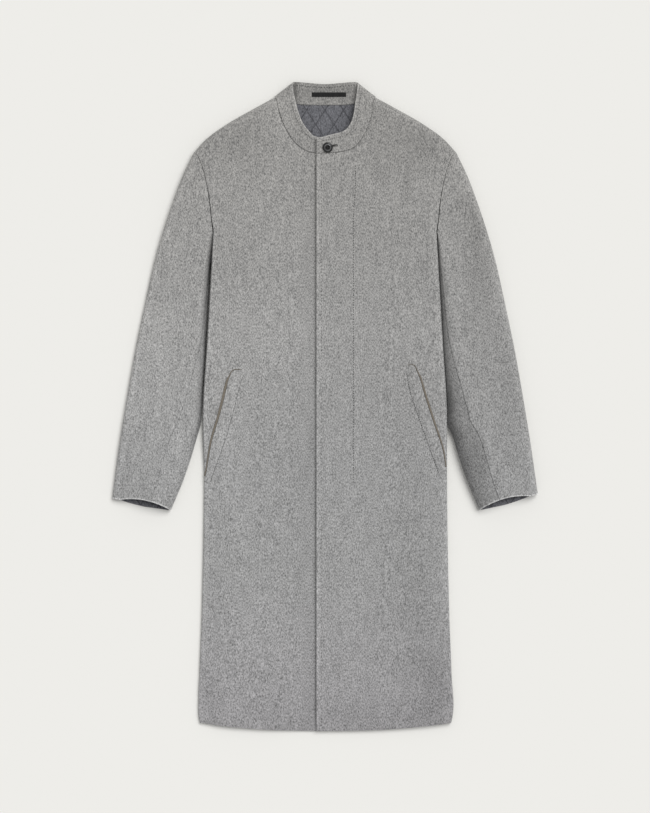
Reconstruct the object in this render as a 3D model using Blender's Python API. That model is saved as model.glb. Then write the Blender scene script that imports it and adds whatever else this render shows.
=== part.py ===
"""A long double-face wool coat with a stand collar, laid flat on its back.

Every cut piece is a thin cloth wall of its own. The front panels roll over the sides and the
shoulders and land on the flat back panel, and each sleeve is a tube of two pieces. Metres, +X to
the wearer's left, +Y to the collar, +Z up, with the back panel resting on the plane Z = 0.
"""
from math import asin
from math import cos
from math import exp
from math import pi
from math import radians
from math import sin

import bmesh
import bpy
import numpy as np
from mathutils import Vector

# Cloth walls and the spaces between pieces
CLOTH_WALL = 0.0024
COLLAR_WALL = 0.0030
WELT_WALL = 0.0016
POCKET_EDGE_WALL = 0.0012
LABEL_WALL = 0.0006
SEAM_GAP = 0.0004
HEAD_GAP = 0.0009
NECK_BACK_GAP = 0.0012
FOREARM_GAP = 0.0007
LAYER_GAP = 0.00035

# Body, seen from above
FRONT_EDGE_X = -0.0166
UNDERLAP_X = 0.0450
HEM_CENTRE_Y = -0.5975
HEM_HALF = 0.2335
HEM_BOW = 0.0155
HEM_BOW_POWER = 2.3
HEM_FADE = 3
SHOULDER_FADE = 2
ARMPIT_Y = 0.3217

# Heights of the body's upper face, and the roll at its sides and shoulders
CENTRE_HEIGHT = 0.0086
SIDE_HEIGHT = 0.0115
SHOULDER_HEIGHT = 0.0190
CALM_HALF = 0.0600
NECK_RISE_SHARE = 0.30
NECK_RISE_START_Y = 0.345
NECK_RISE_END_Y = 0.455
ROLL_DEPTH = 0.0100
SIDE_ROLL_DEPTH = 0.0042
ARMPIT_ROLL_DEPTH = 0.0004
ROLL_FADE = 0.0900
ROLL_END = 0.98
BACK_INSET = 0.0015
UNDERLAP_DROP = COLLAR_WALL + LAYER_GAP
DROP_FULL_X = 0.0350
DROP_END_X = 0.1200

# Sleeve section
SLEEVE_EDGE_ROLL = 0.0052
SLEEVE_MIDDLE_SHARE = 0.22
SLEEVE_EDGE_SHARE = 0.24
SLEEVE_ROLL_FADE = 0.30
SLEEVE_HEAD_FADE = 4
HEAD_JOIN = 0.125
SLEEVE_FAN = 0.20
SLEEVE_FAN_LENGTH = 0.10
CUFF_START = 0.80
CUFF_TOP_LIFT = 0.0088
CUFF_UNDER_DROP = 0.0032
CUFF_TILT_LEFT = -0.0050
CUFF_TILT_RIGHT = 0.0030
CUFF_DIRECTION = Vector((0.20, -0.98))

# Roughness of the finishes, and the sharpest bend that is still shaded smooth
WOOL_ROUGH = 0.9
EDGE_ROUGH = 0.7
HORN_ROUGH = 0.25
LABEL_ROUGH = 0.6
SMOOTH_BEND = radians(50.0)

# Pockets, button and label
POCKET_LIFT = 0.0005
LABEL_LIFT = 0.0003
POCKET_ROUND = 0.0090
POCKET_ROUND_SHARE = 0.17
POCKET_EDGE_END = 0.97
POCKET_EDGE_WIDTH = 0.0032
POCKET_EDGE_TAPER = 0.50
BUTTON_CENTRE = Vector((0.0052, 0.4767))
BUTTON_RADIUS = 0.0095
BUTTON_HEIGHT = 0.0040
BUTTON_STATIONS = 2.0
BUTTON_RIM = 0.0022
BUTTON_DISH = 0.0013
BUTTON_FOOT = 0.0012
BUTTON_BREAK = 0.0009
LABEL_STATIONS = (-0.95, 0.57)
LABEL_SHARES = (0.385, 0.590)

# How finely each piece is divided
BODY_COLUMNS = 10
BODY_ROWS = 18
ROLL_STEPS = 7
SLEEVE_ROWS = 18
SLEEVE_COLUMNS = 4
SLEEVE_ROLL_STEPS = 7
COLLAR_STEPS = 2
COLLAR_ROWS = 4
WELT_ROWS = 20
WELT_COLUMNS = 5
OUTLINE_STEPS = 8
LABEL_COLUMNS = 8
BUTTON_SIDES = 32
PLACE_STEPS = 31

# Steps for measuring a slope (share of a curve, collar stations, radians, metres), and for joining
CURVE_STEP = 0.01
STATION_STEP = 0.05
ANGLE_STEP = 0.02
SLOPE_STEP = 0.0004
MERGE_DISTANCE = 0.00001

# Half width of the body: y, x
SIDE_EDGE = (
    (-0.5820, 0.2325),
    (-0.5700, 0.2350),
    (-0.4920, 0.2331),
    (-0.3890, 0.2292),
    (-0.2830, 0.2266),
    (-0.1720, 0.2250),
    (-0.0770, 0.2248),
    (-0.0400, 0.2250),
    (-0.0180, 0.2252),
    (0.0080, 0.2246),
    (0.0410, 0.2228),
    (0.1000, 0.2186),
    (0.1880, 0.2135),
    (0.2470, 0.2100),
    (0.3217, 0.2049),
)

# Seam from the armpit up to the shoulder: x, y
ARMHOLE = (
    (0.2045, 0.3217),
    (0.2080, 0.3450),
    (0.2112, 0.3750),
    (0.2163, 0.4050),
    (0.2245, 0.4380),
    (0.2335, 0.4612),
)

# Outline of the shoulder, from the neck to the sleeve: x, y
SHOULDER = (
    (0.0925, 0.5695),
    (0.1298, 0.5489),
    (0.1807, 0.5195),
    (0.2204, 0.4901),
    (0.2408, 0.4676),
)

# Collar on the front that lies over: seam x, seam y, upper edge x, upper edge y, upper edge z
NECK_OVER = (
    (-0.0166, 0.4656, -0.0166, 0.4925, 0.0160),
    (0.0232, 0.4676, 0.0080, 0.4990, 0.0175),
    (0.0528, 0.4758, 0.0330, 0.5055, 0.0190),
    (0.0675, 0.4936, 0.0450, 0.5165, 0.0205),
    (0.0802, 0.5190, 0.0525, 0.5345, 0.0215),
    (0.0872, 0.5440, 0.0562, 0.5600, 0.0215),
    (0.0878, 0.5602, 0.0590, 0.5790, 0.0200),
)

# Collar on the front that lies under, with x counted towards its own sleeve
NECK_UNDER = (
    (-0.0230, 0.4660, -0.0230, 0.4960, 0.0130),
    (0.0191, 0.4668, 0.0150, 0.4960, 0.0135),
    (0.0381, 0.4724, 0.0296, 0.5063, 0.0165),
    (0.0560, 0.4862, 0.0423, 0.5232, 0.0190),
    (0.0725, 0.5105, 0.0500, 0.5430, 0.0210),
    (0.0835, 0.5379, 0.0545, 0.5600, 0.0212),
    (0.0878, 0.5602, 0.0585, 0.5790, 0.0200),
)

# Collar round the side fold to the centre back: seam x, y, z, upper edge x, y, z
NECK_BACK = (
    (0.0918, 0.5692, 0.0110, 0.0606, 0.5915, 0.0165),
    (0.0914, 0.5700, 0.0055, 0.0600, 0.5960, 0.0110),
    (0.0840, 0.5668, 0.0030, 0.0530, 0.5976, 0.0075),
    (0.0480, 0.5578, 0.0008, 0.0300, 0.5960, 0.0060),
    (0.0000, 0.5562, 0.0005, 0.0000, 0.5938, 0.0060),
)

# Outer edge of the sleeve, from the shoulder to the cuff: x, y
SLEEVE_OUTER = (
    (0.2411, 0.4672),
    (0.2586, 0.4312),
    (0.2838, 0.3650),
    (0.3113, 0.2766),
    (0.3315, 0.1883),
    (0.3499, 0.1000),
    (0.3654, 0.0117),
    (0.3797, -0.0766),
    (0.3919, -0.1660),
)

# Inner edge of the sleeve, from the armpit to the cuff: x, y
SLEEVE_INNER = (
    (0.2058, 0.3212),
    (0.2090, 0.2766),
    (0.2126, 0.2200),
    (0.2169, 0.1450),
    (0.2206, 0.0850),
    (0.2244, 0.0300),
    (0.2272, -0.0104),
    (0.2337, -0.0470),
    (0.2422, -0.0800),
    (0.2605, -0.1350),
    (0.2840, -0.1910),
)

# Sleeve section: share of length, height at the forearm seam, height at the outer edge,
# width of the sloping inner flank, place of the seam on that flank as an angle
SLEEVE_SECTION = (
    (0.00, 0.0190, 0.0190, 0.0004, 12.0),
    (0.15, 0.0215, 0.0195, 0.0125, 37.0),
    (0.35, 0.0250, 0.0195, 0.0212, 49.0),
    (0.57, 0.0295, 0.0205, 0.0320, 78.0),
    (0.75, 0.0325, 0.0215, 0.0472, 84.0),
    (1.00, 0.0260, 0.0185, 0.0410, 84.0),
)

# Slanted pockets on each front: inner seam x, y and mouth x, y, from the top end down
POCKET_LEFT = (
    (0.1450, 0.0735, 0.1625, 0.0755),
    (0.1581, 0.0190, 0.1785, 0.0270),
    (0.1765, -0.0330, 0.1975, -0.0290),
    (0.1945, -0.0790, 0.2133, -0.0760),
    (0.2080, -0.1190, 0.2200, -0.1140),
)
POCKET_RIGHT = (
    (0.1470, 0.0645, 0.1670, 0.0680),
    (0.1575, 0.0270, 0.1795, 0.0270),
    (0.1715, -0.0170, 0.1920, -0.0180),
    (0.1860, -0.0650, 0.2052, -0.0655),
    (0.2050, -0.1260, 0.2195, -0.1240),
)

# Rows of a front panel above the armpit, one for each step of the collar's seam
YOKE_ROWS = (len(NECK_OVER) - 1) * COLLAR_STEPS

# Colours are linear red, green and blue
GREY_WOOL = (0.295, 0.293, 0.288)
BROWN_EDGE = (0.150, 0.118, 0.085)
BLACK_HORN = (0.012, 0.012, 0.013)
BLACK_LABEL = (0.010, 0.010, 0.010)


def smooth_step(value):
    """Eases from 0 to 1 as the value goes from 0 to 1."""
    share = min(max(value, 0.0), 1.0)
    return share * share * (3.0 - 2.0 * share)


def mix(start, end, share):
    """Goes straight from start to end."""
    return start + (end - start) * share


def read_table(rows, key):
    """Reads rows of (key, values...) at a key, on a smooth curve through the rows."""
    table = np.array(rows)
    keys = table[:, 0]
    values = table[:, 1:]
    slopes = np.gradient(values, keys, axis=0)
    first = int(np.clip(np.searchsorted(keys, key) - 1, 0, len(keys) - 2))
    step = keys[first + 1] - keys[first]
    share = float(np.clip((key - keys[first]) / step, 0.0, 1.0))
    square = share * share
    cube = square * share
    at_start = (2.0 * cube - 3.0 * square + 1.0) * values[first]
    at_end = (3.0 * square - 2.0 * cube) * values[first + 1]
    leave = (cube - 2.0 * square + share) * step * slopes[first]
    arrive = (cube - square) * step * slopes[first + 1]
    return at_start + at_end + leave + arrive


def read_curve(points, share):
    """Goes along a smooth curve through plan points, from share 0 to share 1 of its length."""
    places = np.array(points)
    runs = np.linalg.norm(np.diff(places, axis=0), axis=1)
    keys = np.concatenate(((0.0,), np.cumsum(runs))) / runs.sum()
    return Vector(read_table(np.column_stack((keys, places)), share))


def curve_side(points, share):
    """Gives the unit plan direction to the left of a curve's run."""
    ahead = read_curve(points, min(share + CURVE_STEP, 1.0))
    run = ahead - read_curve(points, max(share - CURVE_STEP, 0.0))
    return Vector((-run.y, run.x)).normalized()


def side_x(y):
    """Half width of the body at a height of the coat."""
    return float(read_table(SIDE_EDGE, y)[0])


def hem_y(x):
    """The hem bows down towards the centre front."""
    return HEM_CENTRE_Y + HEM_BOW * (abs(x) / HEM_HALF) ** HEM_BOW_POWER


def roll_depth(y):
    """The side roll narrows to nothing at the armpit."""
    return mix(ARMPIT_ROLL_DEPTH, SIDE_ROLL_DEPTH, smooth_step((ARMPIT_Y - y) / ROLL_FADE))


def edge_height(y):
    """The fold at the sides is flatter than the cloth round the armholes and shoulders."""
    return mix(SHOULDER_HEIGHT, SIDE_HEIGHT, smooth_step((ARMPIT_Y - y) / ROLL_FADE))


def reach_x(y):
    """Half width that the upper face reaches: side, armhole or shoulder."""
    if y <= ARMPIT_Y:
        return side_x(y) - roll_depth(y)
    armhole = np.array(ARMHOLE)
    if y <= armhole[-1, 1]:
        return float(np.interp(y, armhole[:, 1], armhole[:, 0]))
    shoulder = np.array(SHOULDER)[::-1]
    return float(np.interp(y, shoulder[:, 1], shoulder[:, 0])) - ROLL_DEPTH


def over_height(x, y):
    """Height of the upper face: the fronts lie on the back, and rise to the sides and the neck."""
    reach = max(reach_x(y), CALM_HALF + ROLL_DEPTH)
    side_share = smooth_step((abs(x) - CALM_HALF) / (reach - CALM_HALF))
    neck_share = smooth_step((y - NECK_RISE_START_Y) / (NECK_RISE_END_Y - NECK_RISE_START_Y))
    rise = 1.0 - (1.0 - side_share) * (1.0 - NECK_RISE_SHARE * neck_share)
    return mix(CENTRE_HEIGHT, edge_height(y), rise)


def under_height(x, y):
    """The other front dips below the first one near the centre. Its x counts towards its sleeve."""
    dip = smooth_step((DROP_END_X - x) / (DROP_END_X - DROP_FULL_X))
    return over_height(x, y) - UNDERLAP_DROP * dip


def roll_angles(height, steps):
    """Angles down a roll, from its top to where it lands on the cloth that rests on the floor."""
    landing = CLOTH_WALL + SEAM_GAP
    end = asin((landing - height / 2.0) / (height / 2.0))
    return [mix(pi / 2.0, end, step / steps) for step in range(1, steps + 1)]


def roll_point(start, outward, depth, height, angle):
    """A point of a rolled edge: start is the plan point where the roll leaves the upper face."""
    plan = start + outward * depth * cos(angle)
    return Vector((plan.x, plan.y, height / 2.0 * (1.0 + sin(angle))))


def make_material(name, colour, roughness):
    """A plain finish for one piece."""
    material = bpy.data.materials.new(name)
    material.use_nodes = True
    shader = material.node_tree.nodes["Principled BSDF"]
    shader.inputs["Base Color"].default_value = (*colour, 1.0)
    shader.inputs["Roughness"].default_value = roughness
    shader.inputs["Metallic"].default_value = 0.0
    return material


def add_object(name, shape, colour, roughness):
    """Turns a bmesh into a named, smooth object of the scene with its own material."""
    mesh = bpy.data.meshes.new(name)
    shape.to_mesh(mesh)
    shape.free()
    mesh.shade_smooth()
    mesh.set_sharp_from_angle(angle=SMOOTH_BEND)
    mesh.materials.append(make_material(name + "_finish", colour, roughness))
    piece = bpy.data.objects.new(name, mesh)
    bpy.context.scene.collection.objects.link(piece)
    return piece


def lattice(points, mirrored):
    """Joins points with (column, row) keys into faces. A piece for the other side is mirrored."""
    shape = bmesh.new()
    turn = -1.0 if mirrored else 1.0
    corners = {}
    for key, place in points.items():
        corners[key] = shape.verts.new((turn * place.x, place.y, place.z))
    for column, row in points:
        keys = ((column, row), (column + 1, row), (column + 1, row + 1), (column, row + 1))
        if all(key in corners for key in keys):
            ordered = keys[::-1] if mirrored else keys
            shape.faces.new([corners[key] for key in ordered])
    return shape


def thicken(piece, wall, offset):
    """Gives a sheet its wall: offset -1 thickens inwards and 1 outwards."""
    solid = piece.modifiers.new("wall", "SOLIDIFY")
    solid.thickness = wall
    solid.offset = offset


def add_wool(name, points, mirrored, wall, offset):
    """A wall of grey wool on a lattice of points."""
    piece = add_object(name, lattice(points, mirrored), GREY_WOOL, WOOL_ROUGH)
    thicken(piece, wall, offset)


def front_row(row, edge_x, neckline):
    """Plan ends of one row of a front panel, and how far up it is in the body and in the yoke."""
    if row <= BODY_ROWS:
        share = row / BODY_ROWS
        inner = Vector((edge_x, mix(hem_y(edge_x), neckline[0].y, share)))
        y = mix(SIDE_EDGE[0][0], ARMPIT_Y, share)
        outer = Vector((side_x(y) - roll_depth(y), y))
        return inner, outer, share, 0.0
    share = (row - BODY_ROWS) / YOKE_ROWS
    outer = read_curve(ARMHOLE, share)
    return neckline[row - BODY_ROWS], outer, 1.0, share


def shoulder_row(share):
    """Plan point where the shoulder's roll leaves the upper face, and its outward direction."""
    outward = curve_side(SHOULDER, share)
    return read_curve(SHOULDER, share) - outward * ROLL_DEPTH, outward


def front_plan(row, share, edge_x, neckline):
    """Plan point of a front panel at a share of the way from its front edge to its side."""
    inner, outer, up_body, up_yoke = front_row(row, edge_x, neckline)
    place = inner.lerp(outer, share)
    straight_hem = mix(hem_y(edge_x), SIDE_EDGE[0][0], share)
    place.y += (hem_y(place.x) - straight_hem) * (1.0 - up_body) ** HEM_FADE
    straight = shoulder_row(0.0)[0].lerp(shoulder_row(1.0)[0], share)
    bow = shoulder_row(share)[0] - straight
    return place + bow * up_yoke ** SHOULDER_FADE


def add_front(name, mirrored, edge_x, neckline, height):
    """One front panel: its upper face, its roll over the side and its roll over the shoulder."""
    top = BODY_ROWS + YOKE_ROWS
    points = {}
    for row in range(top + 1):
        for column in range(BODY_COLUMNS + 1):
            plan = front_plan(row, column / BODY_COLUMNS, edge_x, neckline)
            points[column, row] = Vector((plan.x, plan.y, height(plan.x, plan.y)))
    for row in range(BODY_ROWS + 1):
        edge = points[BODY_COLUMNS, row]
        depth = roll_depth(edge.y)
        for step, angle in enumerate(roll_angles(edge.z, ROLL_STEPS), 1):
            place = roll_point(edge.xy, Vector((1.0, 0.0)), depth, edge.z, angle)
            points[BODY_COLUMNS + step, row] = place
    for column in range(BODY_COLUMNS + 1):
        edge = points[column, top]
        outward = shoulder_row(column / BODY_COLUMNS)[1]
        for step, angle in enumerate(roll_angles(edge.z, ROLL_STEPS), 1):
            place = roll_point(edge.xy, outward, ROLL_DEPTH, edge.z, angle)
            points[column, top + step] = place
    add_wool(name, points, mirrored, CLOTH_WALL, -1.0)


def neck_rows(table):
    """Numbers the rows of a collar table, so that the table can be read between its rows."""
    return [(index, *row) for index, row in enumerate(table)]


def panel_neckline(table):
    """The panel's own neckline keeps a seam's gap outside the collar's, point by point."""
    points = []
    for step in range(YOKE_ROWS + 1):
        station = step / COLLAR_STEPS
        seam = Vector(read_table(neck_rows(table), station)[:2])
        ahead = Vector(read_table(neck_rows(table), station + STATION_STEP)[:2])
        behind = Vector(read_table(neck_rows(table), station - STATION_STEP)[:2])
        run = (ahead - behind).normalized()
        points.append(seam + Vector((run.y, -run.x)) * SEAM_GAP)
    return points


def half_back_outline():
    """Outline of the right half of the back, from the centre of the neck round to the hem."""
    neck = []
    for step in range(2 * COLLAR_STEPS + 1):
        seam = read_table(neck_rows(NECK_BACK), len(NECK_BACK) - 1 - step / COLLAR_STEPS)
        neck.append(Vector((seam[0], seam[1] - NECK_BACK_GAP)))
    shoulder = []
    for step in range(OUTLINE_STEPS + 1):
        share = step / OUTLINE_STEPS
        shoulder.append(read_curve(SHOULDER, share) - curve_side(SHOULDER, share) * BACK_INSET)
    armhole = [read_curve(ARMHOLE, 1.0 - step / OUTLINE_STEPS) for step in range(OUTLINE_STEPS + 1)]
    side = []
    for step in range(1, BODY_ROWS + 1):
        y = mix(ARMPIT_Y, SIDE_EDGE[0][0], step / BODY_ROWS)
        side.append(Vector((side_x(y) - BACK_INSET, y)))
    hem_end = SIDE_EDGE[0][1] - 2.0 * BACK_INSET
    hem = []
    for step in range(OUTLINE_STEPS):
        x = hem_end * (1.0 - step / OUTLINE_STEPS)
        hem.append(Vector((x, hem_y(x))))
    return neck, shoulder, armhole, side, hem


def add_back():
    """The back panel lies flat on the floor under all the rest."""
    neck, shoulder, armhole, side, hem = half_back_outline()
    right = neck + shoulder + armhole + side + hem
    bottom = [Vector((0.0, hem_y(0.0)))]
    left = [Vector((-place.x, place.y)) for place in reversed(right[1:])]
    shape = bmesh.new()
    corners = [shape.verts.new((place.x, place.y, 0.0)) for place in right + bottom + left]
    floor_face = shape.faces.new(corners)
    made = bmesh.ops.extrude_face_region(shape, geom=[floor_face])
    raised = [item for item in made["geom"] if isinstance(item, bmesh.types.BMVert)]
    bmesh.ops.translate(shape, verts=raised, vec=(0.0, 0.0, CLOTH_WALL))
    bmesh.ops.recalc_face_normals(shape, faces=shape.faces)
    add_object("back_panel", shape, GREY_WOOL, WOOL_ROUGH)


class SleeveRow:
    """One row across a sleeve, from its inner edge to its outer edge."""

    def __init__(self, share):
        fan = SLEEVE_FAN * (1.0 - exp(-share / SLEEVE_FAN_LENGTH)) * (1.0 - share)
        self.share = share
        self.height, self.outer_height, self.flank, self.seam = read_table(SLEEVE_SECTION, share)
        ease = smooth_step(share / SLEEVE_ROLL_FADE)
        self.edge_roll = min(SLEEVE_EDGE_ROLL, self.flank)
        self.middle = self.height * mix(0.5, SLEEVE_MIDDLE_SHARE, ease)
        self.edge_rise = (self.height - self.middle) * mix(1.0, SLEEVE_EDGE_SHARE, ease)
        self.inner_edge = read_curve(SLEEVE_INNER, share)
        self.outer_edge = read_curve(SLEEVE_OUTER, share + fan)
        across = (self.outer_edge - self.inner_edge).normalized()
        straight = smooth_step((share - CUFF_START) / (1.0 - CUFF_START))
        self.inward = curve_side(SLEEVE_INNER, share).lerp(across, straight).normalized()
        beside = curve_side(SHOULDER, 1.0).lerp(curve_side(SLEEVE_OUTER, share + fan), ease)
        self.outward = beside.lerp(across, straight).normalized()
        self.inner = self.inner_edge + self.inward * self.flank
        self.outer = self.outer_edge - self.outward * ROLL_DEPTH

    def plan(self, across):
        """Plan point between the two rolls: the first rows follow the armhole."""
        place = self.inner.lerp(self.outer, across)
        head = read_curve(ARMHOLE, across) - curve_side(ARMHOLE, across) * HEAD_GAP
        first = HEAD_ROW.inner.lerp(HEAD_ROW.outer, across) if self.share > 0.0 else place
        ease = (1.0 - self.share) ** SLEEVE_HEAD_FADE * min(1.0, across / HEAD_JOIN)
        return place + (head - first) * ease

    def bow_cuff(self, place, shift, tilt):
        """Moves a point along the sleeve near the cuff, so that its edge bows and tilts."""
        near_cuff = max(0.0, (self.share - CUFF_START) / (1.0 - CUFF_START)) ** 2
        width = self.outer_edge - self.inner_edge
        across = (place.xy - self.inner_edge).dot(width) / width.length_squared
        across = min(max(across, 0.0), 1.0)
        bow = CUFF_DIRECTION * 4.0 * across * (1.0 - across) * shift
        return place + ((bow - Vector((0.0, across * tilt))) * near_cuff).to_3d()

    def low_roll(self, angle):
        """A point of the roll below the inner edge, down to the floor."""
        start = self.inner_edge + self.inward * self.edge_roll
        plan = start - self.inward * self.edge_roll * cos(angle)
        return Vector((plan.x, plan.y, self.middle * (1.0 + sin(angle))))

    def flank_point(self, angle):
        """A point of the inner flank: it rolls up from the inner edge, then slopes to the seam."""
        share = 1.0 - cos(angle)
        plan = self.inner_edge + self.inward * self.flank * share
        before = max(0.0, 1.0 - self.flank * share / self.edge_roll)
        rolled = self.middle + self.edge_rise * (1.0 - before * before) ** 0.5
        slope = (self.height - self.middle - self.edge_rise) * share
        return Vector((plan.x, plan.y, rolled + slope))

    def seam_angle(self, side):
        """Angle of the forearm seam on the inner flank, half a gap to one side of it."""
        angle = radians(self.seam)
        run = self.flank_point(angle + ANGLE_STEP) - self.flank_point(angle - ANGLE_STEP)
        return angle + side * FOREARM_GAP * ANGLE_STEP / run.length

    def outer_roll(self, angle):
        """A point of the roll at the outer edge."""
        return roll_point(self.plan(1.0), self.outward, ROLL_DEPTH, self.outer_height, angle)


HEAD_ROW = SleeveRow(0.0)


def top_sleeve_points(tilt):
    """The top sleeve runs from the forearm seam over the top and round the outer edge."""
    points = {}
    for row in range(SLEEVE_ROWS + 1):
        section = SleeveRow(row / SLEEVE_ROWS)
        path = []
        seam = section.seam_angle(1.0)
        for step in range(SLEEVE_ROLL_STEPS):
            path.append(section.flank_point(mix(seam, pi / 2.0, step / SLEEVE_ROLL_STEPS)))
        for column in range(SLEEVE_COLUMNS + 1):
            plan = section.plan(column / SLEEVE_COLUMNS)
            height = mix(section.height, section.outer_height, column / SLEEVE_COLUMNS)
            path.append(Vector((plan.x, plan.y, height)))
        for angle in roll_angles(section.outer_height, ROLL_STEPS):
            path.append(section.outer_roll(angle))
        for column, place in enumerate(path):
            points[column, SLEEVE_ROWS - row] = section.bow_cuff(place, -CUFF_TOP_LIFT, tilt)
    return points


def under_sleeve_points(tilt):
    """The under sleeve lies on the floor, turns up at the inner edge and ends at the forearm seam."""
    points = {}
    for row in range(SLEEVE_ROWS + 1):
        section = SleeveRow(row / SLEEVE_ROWS)
        low_path = [(section.outer_edge - section.outward * BACK_INSET).to_3d()]
        for column in range(SLEEVE_COLUMNS):
            low_path.append(section.plan(1.0 - column / SLEEVE_COLUMNS).to_3d())
        for step in range(SLEEVE_ROLL_STEPS + 1):
            low_path.append(section.low_roll(mix(-pi / 2.0, 0.0, step / SLEEVE_ROLL_STEPS)))
        seam = section.seam_angle(-1.0)
        high_path = []
        for step in range(1, SLEEVE_ROLL_STEPS + 1):
            high_path.append(section.flank_point(mix(0.0, seam, step / SLEEVE_ROLL_STEPS)))
        path = [section.bow_cuff(place, CUFF_UNDER_DROP, tilt) for place in low_path]
        path += [section.bow_cuff(place, -CUFF_TOP_LIFT, tilt) for place in high_path]
        for column, place in enumerate(path):
            points[column, SLEEVE_ROWS - row] = place
    return points


def collar_stations():
    """Seam and upper edge of the collar, from its upper end round the back to its lower end."""
    stations = []
    for seam_x, seam_y, edge_x, edge_y, edge_z in NECK_OVER:
        seam_z = over_height(seam_x, seam_y)
        stations.append(((seam_x, seam_y, seam_z), (edge_x, edge_y, edge_z)))
    for row in NECK_BACK:
        stations.append((row[:3], row[3:]))
    for row in NECK_BACK[-2::-1]:
        stations.append(((-row[0], row[1], row[2]), (-row[3], row[4], row[5])))
    for seam_x, seam_y, edge_x, edge_y, edge_z in NECK_UNDER[::-1]:
        seam_z = under_height(seam_x, seam_y)
        stations.append(((-seam_x, seam_y, seam_z), (-edge_x, edge_y, edge_z)))
    return stations


def collar_point(station, share):
    """A point of the collar at a station number, from its seam (0) to its upper edge (1)."""
    rows = [(index, *seam, *edge) for index, (seam, edge) in enumerate(collar_stations())]
    values = read_table(rows, station)
    return Vector(values[:3]).lerp(Vector(values[3:]), share)


def collar_normal(station, share):
    """The unit direction that faces up from the collar."""
    along = collar_point(station + STATION_STEP, share) - collar_point(station - STATION_STEP, share)
    across = collar_point(station, 1.0) - collar_point(station, 0.0)
    normal = along.cross(across).normalized()
    return normal if normal.z > 0.0 else -normal


def add_collar():
    """The stand collar is one band, open at the front, where its ends lie over each other."""
    points = {}
    columns = (len(collar_stations()) - 1) * COLLAR_STEPS
    for column in range(columns + 1):
        for row in range(COLLAR_ROWS + 1):
            points[column, row] = collar_point(column / COLLAR_STEPS, row / COLLAR_ROWS)
    add_wool("collar_band", points, False, COLLAR_WALL, -1.0)


def body_point(plan, height, lift):
    """A point at a distance above a front panel, also where the panel rolls over the side."""
    def surface(x, y):
        depth = roll_depth(y)
        past = (x - (side_x(y) - depth)) / depth
        if past <= 0.0:
            return height(x, y)
        top = height(side_x(y) - depth, y)
        return top / 2.0 * (1.0 + (1.0 - min(past, ROLL_END) ** 2) ** 0.5)
    step = SLOPE_STEP
    slope_x = surface(plan.x + step, plan.y) - surface(plan.x - step, plan.y)
    slope_y = surface(plan.x, plan.y + step) - surface(plan.x, plan.y - step)
    normal = Vector((-slope_x, -slope_y, 2.0 * step)).normalized()
    return Vector((plan.x, plan.y, surface(plan.x, plan.y))) + normal * lift


def pocket_line(table, down, across):
    """Plan point of a pocket: down from its top end, across from its inner seam to its mouth."""
    keys = [index / (len(table) - 1) for index in range(len(table))]
    values = read_table([(key, *row) for key, row in zip(keys, table)], down)
    place = Vector(values[:2]).lerp(Vector(values[2:]), across)
    corner = POCKET_ROUND * (1.0 - (1.0 - min(across, 1.0) ** 3) ** 0.5)
    place.y -= corner * max(0.0, 1.0 - down / POCKET_ROUND_SHARE)
    return place


def add_pocket(side, mirrored, table, height):
    """A slanted welt on a front panel, and the thin brown edge that shows along its mouth."""
    welt = {}
    edge = {}
    for row in range(WELT_ROWS + 1):
        down = 1.0 - row / WELT_ROWS
        for column in range(WELT_COLUMNS + 1):
            plan = pocket_line(table, down, column / WELT_COLUMNS)
            welt[column, row] = body_point(plan, height, POCKET_LIFT)
        mouth = pocket_line(table, down * POCKET_EDGE_END, 1.0)
        inner = pocket_line(table, down * POCKET_EDGE_END, 0.0)
        outward = (mouth - inner).normalized()
        width = POCKET_EDGE_WIDTH * mix(1.0, POCKET_EDGE_TAPER, down)
        for column in range(2):
            plan = mouth + outward * (SEAM_GAP + width * column)
            edge[column, row] = body_point(plan, height, POCKET_LIFT)
    add_wool("pocket_welt_" + side, welt, mirrored, WELT_WALL, 1.0)
    strip = add_object("pocket_edge_" + side, lattice(edge, mirrored), BROWN_EDGE, EDGE_ROUGH)
    thicken(strip, POCKET_EDGE_WALL, 1.0)


def add_label():
    """A small bare label on the inner face of the collar at the back."""
    centre = len(NECK_OVER) + len(NECK_BACK) - 1
    lift = COLLAR_WALL + LABEL_LIFT
    points = {}
    for column in range(LABEL_COLUMNS + 1):
        station = centre + mix(LABEL_STATIONS[1], LABEL_STATIONS[0], column / LABEL_COLUMNS)
        for row, share in enumerate(LABEL_SHARES):
            points[column, row] = collar_point(station, share) + collar_normal(station, share) * lift
    label = add_object("neck_label", lattice(points, False), BLACK_LABEL, LABEL_ROUGH)
    thicken(label, LABEL_WALL, 1.0)


def collar_place(plan):
    """Station and share of the collar's upper end that lie nearest to a plan point."""
    parts = np.linspace(0.0, 1.0, PLACE_STEPS)
    choices = [(BUTTON_STATIONS * part, share) for part in parts for share in parts]
    return min(choices, key=lambda choice: (collar_point(*choice).xy - plan).length)


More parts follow.
